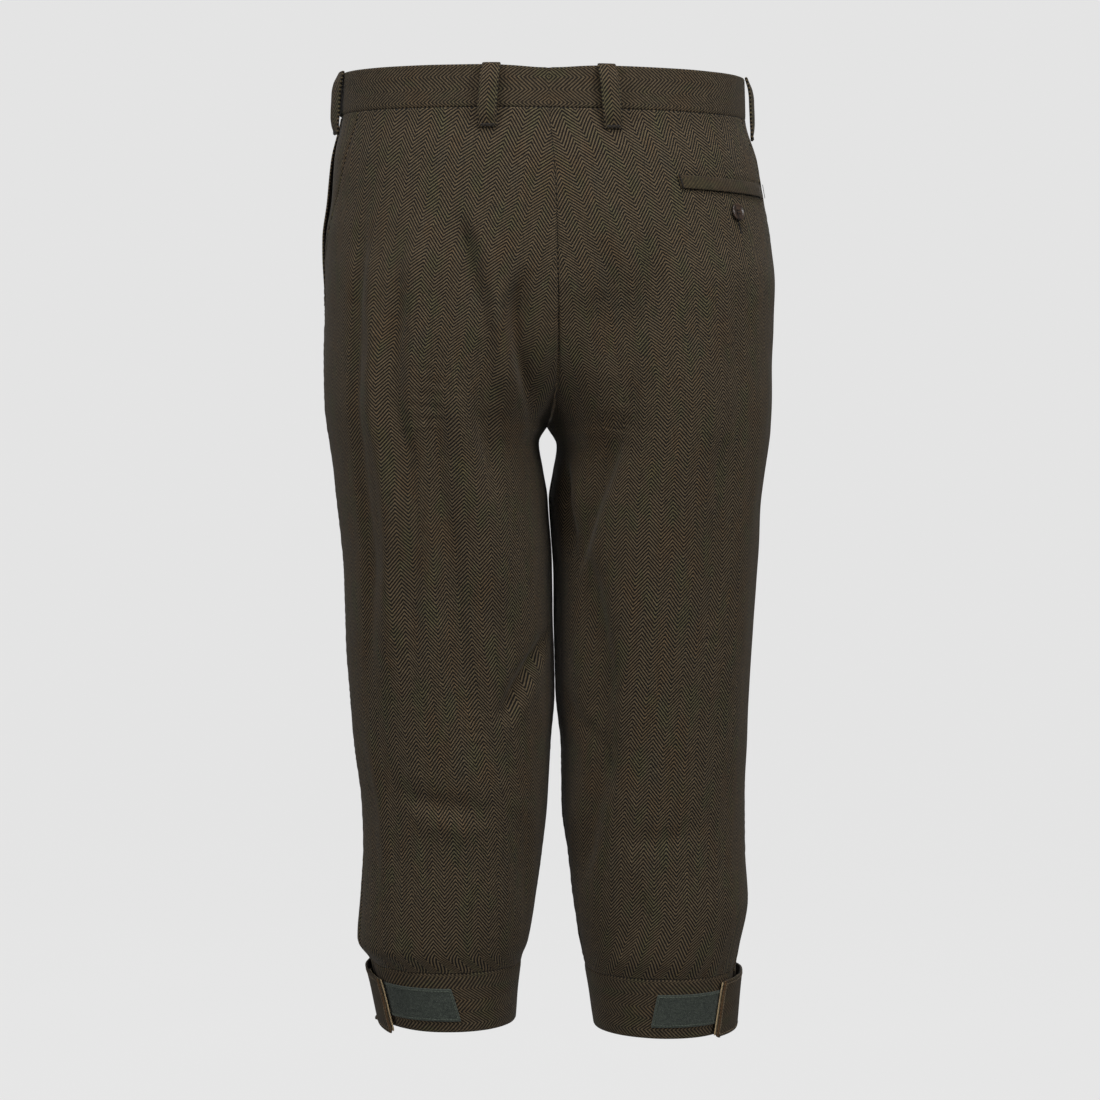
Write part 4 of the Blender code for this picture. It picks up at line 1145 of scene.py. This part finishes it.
def stitch_tree():
    """One small spindle of thread at each point, lying along the point's own direction."""
    tree, given, end = plan_tree("stitches", ("Stitch Length", "Thread Thickness"))
    along = node(tree, "GeometryNodeInputNamedAttribute", {"Name": "along"},
                 data_type="FLOAT_VECTOR")
    turn = node(tree, "FunctionNodeAxesToRotation", {0: along.outputs[0]},
                primary_axis="Z", secondary_axis="X")
    spindle = node(tree, "GeometryNodeMeshUVSphere", {"Segments": 6, "Rings": 5, "Radius": 0.5})
    thick = given.outputs["Thread Thickness"]
    size = node(tree, "ShaderNodeCombineXYZ", {0: thick, 1: thick,
                                               2: given.outputs["Stitch Length"]})
    placed = node(tree, "GeometryNodeInstanceOnPoints",
                  {"Points": given.outputs[0], "Instance": spindle.outputs[0],
                   "Rotation": turn.outputs[0], "Scale": size.outputs[0]})
    return close_tree(tree, placed.outputs[0], given, end)


def fuzz_tree():
    """Tiny loops of yarn standing at random on a tape."""
    tree, given, end = plan_tree("tape_fuzz", ("Loop Size", "Yarn Thickness", "Loops Per Area"))
    spread_out = node(tree, "GeometryNodeDistributePointsOnFaces",
                      {"Mesh": given.outputs[0], "Density": given.outputs["Loops Per Area"],
                       "Seed": 7})
    hoop = node(tree, "GeometryNodeCurveArc", {"Resolution": 5, "Radius": 0.5,
                                               "Start Angle": -0.6, "Sweep Angle": 4.34})
    yarn = node(tree, "GeometryNodeCurvePrimitiveCircle",
                {"Resolution": 3, "Radius": given.outputs["Yarn Thickness"]})
    loop = node(tree, "GeometryNodeCurveToMesh", {0: hoop.outputs[0], 1: yarn.outputs[0]})
    stood = node(tree, "GeometryNodeTransform", {0: loop.outputs[0],
                                                 "Rotation": (math.pi / 2, 0.0, 0.0)})
    spin = node(tree, "FunctionNodeRandomValue", {0: (-0.7, -0.7, -3.14), 1: (0.7, 0.7, 3.14),
                                                  "Seed": 11}, data_type="FLOAT_VECTOR")
    turn = node(tree, "FunctionNodeRotateRotation",
                {0: spread_out.outputs["Rotation"], 1: spin.outputs[0]}, rotation_space="LOCAL")
    size = given.outputs["Loop Size"]
    scale = node(tree, "ShaderNodeCombineXYZ", {0: size, 1: size, 2: size})
    placed = node(tree, "GeometryNodeInstanceOnPoints",
                  {"Points": spread_out.outputs[0], "Instance": stood.outputs[0],
                   "Rotation": turn.outputs[0], "Scale": scale.outputs[0]})
    return close_tree(tree, placed.outputs[0], given, end)


STITCHES = stitch_tree()
TAPE_FUZZ = fuzz_tree()


def grown(name, mesh, tree, sizes, material):
    """Run a tree on a mesh once, and keep what it makes as a plain piece."""
    seed = bpy.data.objects.new(name + "_plan", mesh)
    bpy.context.scene.collection.objects.link(seed)
    run = seed.modifiers.new("grow", "NODES")
    run.node_group = tree
    for socket in tree.interface.items_tree:
        if socket.in_out == "INPUT" and socket.name in sizes:
            run[socket.identifier] = sizes[socket.name]
        elif socket.in_out == "INPUT" and socket.name == "Material":
            run[socket.identifier] = material
    shot = seed.evaluated_get(bpy.context.evaluated_depsgraph_get())
    made = bpy.data.objects.new(name, bpy.data.meshes.new_from_object(shot))
    made.data.name = name
    bpy.context.scene.collection.objects.link(made)
    bpy.data.objects.remove(seed, do_unlink=True)
    return ride_root(made)


def even_places(line, pitch, cross=None):
    """Places every pitch along a line, and the way the thread lies at each.

    cross is a second line beside the first, for stitches that run from one to the other.
    """
    walked = np.concatenate([[0.0], np.cumsum(np.linalg.norm(np.diff(line, axis=0), axis=1))])
    count = max(int(walked[-1] / pitch), 1)
    at = (np.arange(count) + 0.5) * walked[-1] / count

    def along(curve, where):
        return np.stack([np.interp(where, walked, curve[:, k]) for k in range(3)], axis=-1)
    places = along(line, at)
    if cross is None:
        step = pitch / 4
        return places, unit(along(line, at + step) - along(line, at - step))
    far = along(cross, at)
    return (places + far) / 2, unit(far - places)


def sew(name, runs, length, thickness, material):
    """One piece of stitching: each run is its places and thread directions."""
    places = np.concatenate([run[0] for run in runs])
    along = np.concatenate([run[1] for run in runs])
    mesh = bpy.data.meshes.new(name + "_places")
    mesh.from_pydata([tuple(place) for place in places], [], [])
    way = mesh.attributes.new("along", "FLOAT_VECTOR", "POINT")
    way.data.foreach_set("vector", along.ravel().astype(np.float32))
    return grown(name, mesh, STITCHES, {"Stitch Length": length, "Thread Thickness": thickness},
                 material)


def path_of(*corners, steps=40):
    """A line of u and v through corners, as two arrays."""
    parts = [np.linspace(a, b, steps, endpoint=False) for a, b in zip(corners[:-1], corners[1:])]
    whole = np.concatenate(parts + [np.array(corners[-1:])])
    return whole[:, 0], whole[:, 1]


def laid(lay, detail, u, v, lift):
    """Points of a line of u and v on a piece."""
    return skin(detail.side, *lay(detail, u, v, lift))


THREAD_LIFT = 0.12 * MM
# Pitch, stitch length and thread thickness; a bar tack's stitches are as long as it is wide.
TOPSTITCH = (2.9 * MM, 2.3 * MM, 0.55 * MM)
TACK = (0.55 * MM, 0.62 * MM)


def topstitch(name, lines, material, gauge=TOPSTITCH):
    """Rows of even stitches along lines of points."""
    pitch, length, thickness = gauge
    return sew(name, [even_places(line, pitch) for line in lines], length, thickness,
               material)


def bar_tack(name, pairs, material):
    """Dense short stitches between two lines, for each pair of lines."""
    pitch, thickness = TACK
    widths = [float(np.mean(np.linalg.norm(far - near, axis=-1))) for near, far in pairs]
    return sew(name, [even_places(near, pitch, far) for near, far in pairs],
               max(widths), thickness, material)


def tab_stitching(detail, word):
    """Topstitching round a cuff tab, and the overcast edge at its end."""
    inset = 3.2 / 50.0
    reach = detail.tab_end * MM - TAB_ROOT
    near_end = 1 - 2.2 * MM / reach
    root = 10 * MM / reach
    lines = [laid(tab_lay, detail, *path_of((root, inset), (near_end, inset)), THREAD_LIFT),
             laid(tab_lay, detail, *path_of((root, 1 - inset), (near_end, 1 - inset)),
                  THREAD_LIFT)]
    topstitch(f"cuff_tab_{word}_topstitch", lines, PALE_THREAD,
              (2.8 * MM, 2.2 * MM, 0.5 * MM))
    end_line = laid(tab_lay, detail, *path_of((near_end, inset), (near_end, 1 - inset)),
                    THREAD_LIFT)
    topstitch(f"cuff_tab_{word}_end_stitch", [end_line], PALE_THREAD,
              (2.4 * MM, 2.3 * MM, 0.5 * MM))
    v = np.linspace(0.01, 0.99, 60)
    inner = laid(tab_lay, detail, np.full_like(v, 1 - 1.3 * MM / reach), v, 0.05 * MM)
    outer = laid(tab_lay, detail, np.full_like(v, 1.0), v, -0.5 * MM)
    pitch, length, thickness = 1.15 * MM, 2.1 * MM, 0.5 * MM
    sew(f"cuff_tab_{word}_overcast", [even_places(inner, pitch, outer)], length, thickness,
        RUST_THREAD)


def tape_stitching(detail, word):
    """The perimeter stitching of the looped tape, and its fuzz."""
    in_v = 2.0 * MM / TAPE_HEIGHT
    middle = CUFF_TOP - CUFF_HEIGHT / 2
    width = detail.tape_end * MM - float(side_seam(detail.side, np.array(middle))) - TAPE_START
    in_u = 2.0 * MM / width
    ring_path = path_of((in_u, in_v), (1 - in_u, in_v), (1 - in_u, 1 - in_v), (in_u, 1 - in_v),
                        (in_u, in_v))
    line = laid(tape_lay, detail, *ring_path, 0.35 * MM)
    topstitch(f"loop_tape_{word}_stitch", [line], GREEN_THREAD,
              (2.6 * MM, 2.2 * MM, 0.6 * MM))
    rows, across = 12, 30
    u = np.broadcast_to(np.linspace(in_u, 1 - in_u, across)[None, :], (rows, across))
    v = np.broadcast_to(np.linspace(in_v, 1 - in_v, rows)[:, None], (rows, across))
    points = laid(tape_lay, detail, u, v, 0.0).reshape(-1, 3)
    faces = grid_faces(rows, across)
    facing = outward(detail.side, *tape_lay(detail, u, v)[:2]).reshape(-1, 3)
    first = faces[0]
    face_way = np.cross(points[first[1]] - points[first[0]], points[first[3]] - points[first[0]])
    if np.dot(face_way, facing[first[0]]) < 0:
        faces = faces[:, ::-1]
    mesh = bpy.data.meshes.new("tape_field")
    mesh.from_pydata([tuple(p) for p in points], [], [tuple(f) for f in faces])
    grown(f"loop_tape_{word}_fuzz", mesh, TAPE_FUZZ,
          {"Loop Size": 1.0 * MM, "Yarn Thickness": 0.09, "Loops Per Area": 900000.0},
          TAPE_GREEN)


def loop_stitching(loop):
    """The two bar tacks that hold a belt loop's lower end."""
    u = np.linspace(0.14, 0.86, 30)
    pairs = []
    for v in (0.955, 0.975):
        near = skin(loop.side, *loop_lay(loop, u, np.full_like(u, v - 0.006), THREAD_LIFT))
        far = skin(loop.side, *loop_lay(loop, u, np.full_like(u, v + 0.012), THREAD_LIFT))
        pairs.append((near, far))
    bar_tack(f"{loop.name}_tack", pairs, DARK_THREAD)


def welt_stitching():
    """Bar tacks at both ends of the welt."""
    pairs = []
    for end in (WELT_INNER - 1.5 * MM, WELT_OUTER + 1.5 * MM):
        span = np.linspace(-WELT_HEIGHT * 0.52, WELT_HEIGHT * 0.52, 24)
        heights = np.round(welt_line(np.full_like(span, end)) + span, 5)
        lift = WELT_LIFT + WELT_CLOTH + 0.5 * MM
        near = skin(RIGHT, heights, np.full_like(span, end - 0.7 * MM), lift)
        far = skin(RIGHT, heights, np.full_like(span, end + 0.7 * MM), lift)
        pairs.append((near, far))
    bar_tack("back_welt_tacks", pairs, DARK_THREAD)


def fly_stitching():
    """The row that holds the fly down, curving in at its lower end."""
    v = np.linspace(0.02, 0.93, 120)
    width = fly_width(v) - 4 * MM
    width = np.where(v > 0.9, width * np.sqrt(np.clip(1 - (v - 0.9) / 0.05, 0.02, 1.0)), width)
    heights = FLY_TOP - FLY_LENGTH * v
    fore = reaches(LEFT, heights)[1]
    line = skin(LEFT, heights, -fore + width, FLY_LIFT + FLY_CLOTH + THREAD_LIFT)
    topstitch("fly_topstitch", [line], DARK_THREAD)


def pocket_stitching(side, word):
    """The row beside a side pocket's slanted mouth."""
    heights = np.linspace(WAIST_SEAM - 4 * MM, POCKET_LOW + 4 * MM, 120)
    edge = front_edge(side, heights)
    line = skin(side, heights, edge - 6.5 * MM, THREAD_LIFT + POCKET_MOUTH_LIFT * 0.74 * np.sin(
        math.pi * (heights - POCKET_LOW) / (WAIST_SEAM - POCKET_LOW)))
    topstitch(f"pocket_mouth_{word}_topstitch", [line], DARK_THREAD)


def buttonhole(name, centre_line, half_width, material):
    """Dense purl stitches on both sides and both ends of a closed slit."""
    line, facing = centre_line
    along = unit(np.gradient(line, axis=0))
    aside = unit(np.cross(facing, along))
    edges = [line + aside * half_width, line - aside * half_width]
    inner = [line + aside * 0.25 * MM, line - aside * 0.25 * MM]
    runs = [even_places(near, TACK[0], far) for near, far in zip(inner, edges)]
    ends = []
    for place, way in ((line[0], -along[0]), (line[-1], along[-1])):
        sides = aside[0] if place is line[0] else aside[-1]
        span = np.linspace(-1, 1, 9)[:, None]
        ends.append((place + sides * span * half_width * 0.8, place + way * half_width
                     + sides * span * half_width * 0.8))
    runs += [even_places(near, TACK[0], far) for near, far in ends]
    return sew(name, runs, half_width, TACK[1], material)


def buttonholes():
    """The waist tab's level hole, and the back pocket's upright one."""
    span = np.linspace(WAIST_BUTTON_IN - 9 * MM, WAIST_BUTTON_IN + 9 * MM, 40)
    heights = np.zeros_like(span)
    points, facing = front_lay(heights, -span, LAYER_GAP + BAND_CLOTH + 0.1 * MM)
    buttonhole("waist_buttonhole", (points, facing), 1.5 * MM, DARK_THREAD)
    heights = np.linspace(POCKET_BUTTON_HEIGHT + 3 * MM, POCKET_BUTTON_HEIGHT - 16 * MM, 40)
    spot = np.full_like(heights, POCKET_BUTTON_ROUND)
    points = skin(RIGHT, heights, spot, 0.1 * MM)
    buttonhole("back_pocket_buttonhole", (points, outward(RIGHT, heights, spot)), 1.3 * MM,
               DARK_THREAD)


# --- buttons ----------------------------------------------------------------------------
WAIST_BUTTON_IN = 20.0 * MM
WAIST_BUTTON_DIAMETER = 17.0 * MM
POCKET_BUTTON_DIAMETER = 14.5 * MM
BUTTON_THICK = 3.0 * MM
BUTTON_FLOOR = BUTTON_THICK - 0.8 * MM
BUTTON_RIM = 0.95 * MM
BUTTON_HOLE = 0.9 * MM
BUTTON_HOLE_OUT = 1.9 * MM
BUTTON_TURNS = 64


def button_profile(radius):
    """Half section of a dished button with a rolled rim, from its centre round to its back."""
    rim = [(radius - BUTTON_RIM + BUTTON_RIM * math.sin(a), BUTTON_THICK - BUTTON_RIM
            + BUTTON_RIM * math.cos(a)) for a in np.linspace(-0.7, 1.9, 12)]
    slope = [(radius - 2.9 * MM + 1.2 * MM * t, BUTTON_FLOOR + 0.52 * MM * t * t)
             for t in np.linspace(0, 1, 6)]
    low = [(radius - 0.55 * MM, 1.1 * MM), (radius - 1.5 * MM, 0.35 * MM),
           (radius - 2.6 * MM, 0.0)]
    floor = [(0.0, BUTTON_FLOOR), (1.2 * MM, BUTTON_FLOOR), (2.9 * MM, BUTTON_FLOOR)]
    return floor + slope + rim + low + [(0.0, 0.0)]


def button(name, slot_node, place, facing, diameter):
    """A turned button with four drilled holes, and the thread that holds it."""
    profile = button_profile(diameter / 2)
    made = bmesh.new()
    chain = [made.verts.new((r, 0.0, z)) for r, z in profile]
    edges = [made.edges.new(pair) for pair in zip(chain[:-1], chain[1:])]
    bmesh.ops.spin(made, geom=chain + edges, cent=(0, 0, 0), axis=(0, 0, 1),
                   angle=2 * math.pi, steps=BUTTON_TURNS)
    bmesh.ops.remove_doubles(made, verts=made.verts, dist=0.00001)
    bmesh.ops.recalc_face_normals(made, faces=made.faces)
    mesh = bpy.data.meshes.new(name)
    made.to_mesh(mesh)
    made.free()
    blank = bpy.data.objects.new(name + "_blank", mesh)
    drill_mesh = bpy.data.meshes.new(name + "_drill")
    drill = bmesh.new()
    spots = [Vector((math.cos(a), math.sin(a), 0.0)) * BUTTON_HOLE_OUT
             for a in (np.arange(4) + 0.5) * math.pi / 2]
    for spot in spots:
        hole = bmesh.ops.create_cone(drill, cap_ends=True, segments=20, radius1=BUTTON_HOLE,
                                     radius2=BUTTON_HOLE, depth=3 * BUTTON_THICK)
        bmesh.ops.translate(drill, verts=hole["verts"], vec=spot)
    drill.to_mesh(drill_mesh)
    drill.free()
    cutter = bpy.data.objects.new(name + "_drill", drill_mesh)
    for item in (blank, cutter):
        bpy.context.scene.collection.objects.link(item)
    cut = blank.modifiers.new("holes", "BOOLEAN")
    cut.object = cutter
    cut.solver = "EXACT"
    shot = blank.evaluated_get(bpy.context.evaluated_depsgraph_get())
    final = bpy.data.meshes.new_from_object(shot)
    final.name = name
    turn = Vector(facing).to_track_quat("Z", "Y").to_matrix().to_4x4()
    turn.translation = Vector(place)
    final.transform(turn)
    final.materials.clear()
    final.materials.append(HORN)
    final.polygons.foreach_set("use_smooth", np.ones(len(final.polygons), bool))
    final.set_sharp_from_angle(angle=math.radians(50))
    for item in (blank, cutter):
        bpy.data.objects.remove(item, do_unlink=True)
    piece = bpy.data.objects.new(name, final)
    bpy.context.scene.collection.objects.link(piece)
    ride_root(piece, [slot_node])
    runs = []
    for a, b in ((0, 1), (3, 2)):
        for shift in (-0.28 * MM, 0.28 * MM):
            raised = Vector((0.0, shift, BUTTON_FLOOR + 0.1 * MM))
            ends = [turn @ (spots[k] + raised) for k in (a, b)]
            middle = np.array((ends[0] + ends[1]) / 2)
            runs.append((middle[None, :], unit(np.array(ends[1] - ends[0]))[None, :]))
    sew(name + "_thread", runs, BUTTON_HOLE_OUT * 1.9, 0.6 * MM, DARK_THREAD)
    return piece


# --- making the breeches ----------------------------------------------------------------
for side, word in SIDES:
    back_panel(side, word)
    front_panel(side, word)
    pocket_facing(side, word)
    vent_underlap(side, word)
    waistband(side, word)
    cuff(side, word)
    pocket_stitching(side, word)
for values in CUFF_DETAILS_MM:
    detail = CuffDetail(*values)
    word = dict(SIDES)[detail.side]
    cuff_tab(detail, word)
    hook_tape(detail, word)
    loop_tape(detail, word)
    tab_stitching(detail, word)
    tape_stitching(detail, word)
for values in LOOPS_MM:
    belt_loop(BeltLoop(*values))
    loop_stitching(BeltLoop(*values))
waist_tab()
fly_placket()
fly_stitching()
back_welt()
welt_stitching()
buttonholes()

pocket_spot = (np.array([POCKET_BUTTON_HEIGHT]), np.array([POCKET_BUTTON_ROUND]))
button("back_pocket_button_turned", "back_pocket_button",
       skin(RIGHT, *pocket_spot, 0.8 * MM)[0], outward(RIGHT, *pocket_spot)[0],
       POCKET_BUTTON_DIAMETER)
waist_place, waist_facing = front_lay(np.array([0.0]), np.array([-WAIST_BUTTON_IN]),
                                      LAYER_GAP + BAND_CLOTH + 0.5 * MM)
button("waist_button_turned", "waist_button", waist_place[0], waist_facing[0],
       WAIST_BUTTON_DIAMETER)


# --- camera, light and floor ------------------------------------------------------------
CAMERA_DISTANCE = 2.5
CAMERA_RISE = math.radians(3.9)
CAMERA_YAW = math.radians(3.3)
CAMERA_TARGET = Vector((-0.0046, 0.0, -0.385))
CAMERA_LENS = 95.14
BACKGROUND = rgb(230, 230, 230)
FLOOR_HEIGHT = -1.30
SKY_STRENGTH = 0.15
PAPER_GLOW = 0.97
FLOOR_FLAT = 3.2
COVE_RADIUS = 3.0
WALL_TOP = 8.0
# Each light's name, place, width and height in metres, and power in watts.
SOFTBOXES = (
    ("softbox_above", (0.0, 1.2, 2.6), 1.4, 1.0, 42.0),
    ("softbox_right", (-2.2, 2.4, 1.0), 1.4, 1.4, 54.0),
    ("softbox_left", (2.4, 2.2, 0.8), 1.4, 1.4, 40.0),
    ("softbox_low", (0.0, 2.4, -1.6), 1.6, 1.0, 12.0),
    ("softbox_front", (0.0, -2.6, 1.0), 2.0, 1.6, 30.0),
)


def add_camera():
    """The camera stands behind the wearer, a little above the middle."""
    level = math.cos(CAMERA_RISE)
    way = Vector((math.sin(CAMERA_YAW) * level, math.cos(CAMERA_YAW) * level,
                  math.sin(CAMERA_RISE)))
    lens = bpy.data.cameras.new("studio_camera")
    lens.lens = CAMERA_LENS
    lens.sensor_width = 36.0
    lens.clip_start = 0.05
    lens.clip_end = 60.0
    camera = bpy.data.objects.new("studio_camera", lens)
    camera.location = CAMERA_TARGET + way * CAMERA_DISTANCE
    camera.rotation_euler = (-way).to_track_quat("-Z", "Y").to_euler()
    bpy.context.scene.collection.objects.link(camera)
    bpy.context.scene.camera = camera


def softbox(name, place, width, height, power):
    """A rectangular light that faces the breeches."""
    lamp = bpy.data.lights.new(name, "AREA")
    lamp.shape = "RECTANGLE"
    lamp.size = width
    lamp.size_y = height
    lamp.energy = power
    light = bpy.data.objects.new(name, lamp)
    light.location = Vector(place)
    way = CAMERA_TARGET - light.location
    light.rotation_euler = way.to_track_quat("-Z", "Y").to_euler()
    bpy.context.scene.collection.objects.link(light)


def add_room():
    """A pale floor that curves up into walls all round, and an even sky."""
    make = Finish("studio_paper", 0.9, Specular_IOR_Level=0.1)
    make.shader.inputs["Emission Color"].default_value = BACKGROUND
    make.shader.inputs["Emission Strength"].default_value = PAPER_GLOW
    place = make.add("ShaderNodeTexCoord").outputs["Object"]
    paper = make.band(make.noise(place, 3.0, 2.0), 0.3, 0.7, 0.028, 0.032)
    shade = make.add("ShaderNodeCombineXYZ", {0: paper, 1: paper, 2: paper})
    make.finish(shade.outputs[0])
    mesh = bpy.data.meshes.new("studio_floor")
    floor = bmesh.new()
    cove = [(FLOOR_FLAT + COVE_RADIUS * math.sin(a), COVE_RADIUS - COVE_RADIUS * math.cos(a))
            for a in np.linspace(0, math.pi / 2, 16)]
    steps = [(0.0, 0.0)] + cove + [(FLOOR_FLAT + COVE_RADIUS, WALL_TOP)]
    chain = [floor.verts.new((r, 0.0, FLOOR_HEIGHT + z)) for r, z in steps]
    edges = [floor.edges.new(pair) for pair in zip(chain[:-1], chain[1:])]
    bmesh.ops.spin(floor, geom=chain + edges, cent=(0, 0, 0), axis=(0, 0, 1),
                   angle=2 * math.pi, steps=72)
    bmesh.ops.remove_doubles(floor, verts=floor.verts, dist=0.0001)
    floor.to_mesh(mesh)
    floor.free()
    mesh.polygons.foreach_set("use_smooth", np.ones(len(mesh.polygons), bool))
    mesh.materials.append(make.material)
    made = bpy.data.objects.new("studio_floor", mesh)
    bpy.context.scene.collection.objects.link(made)
    made.visible_diffuse = False
    made.visible_glossy = False
    sky = bpy.data.worlds.new("studio_sky")
    sky.use_nodes = True
    sky.node_tree.nodes["Background"].inputs["Color"].default_value = BACKGROUND
    sky.node_tree.nodes["Background"].inputs["Strength"].default_value = SKY_STRENGTH
    bpy.context.scene.world = sky
    bpy.context.scene.view_settings.view_transform = "Standard"


add_camera()
add_room()
for values in SOFTBOXES:
    softbox(*values)
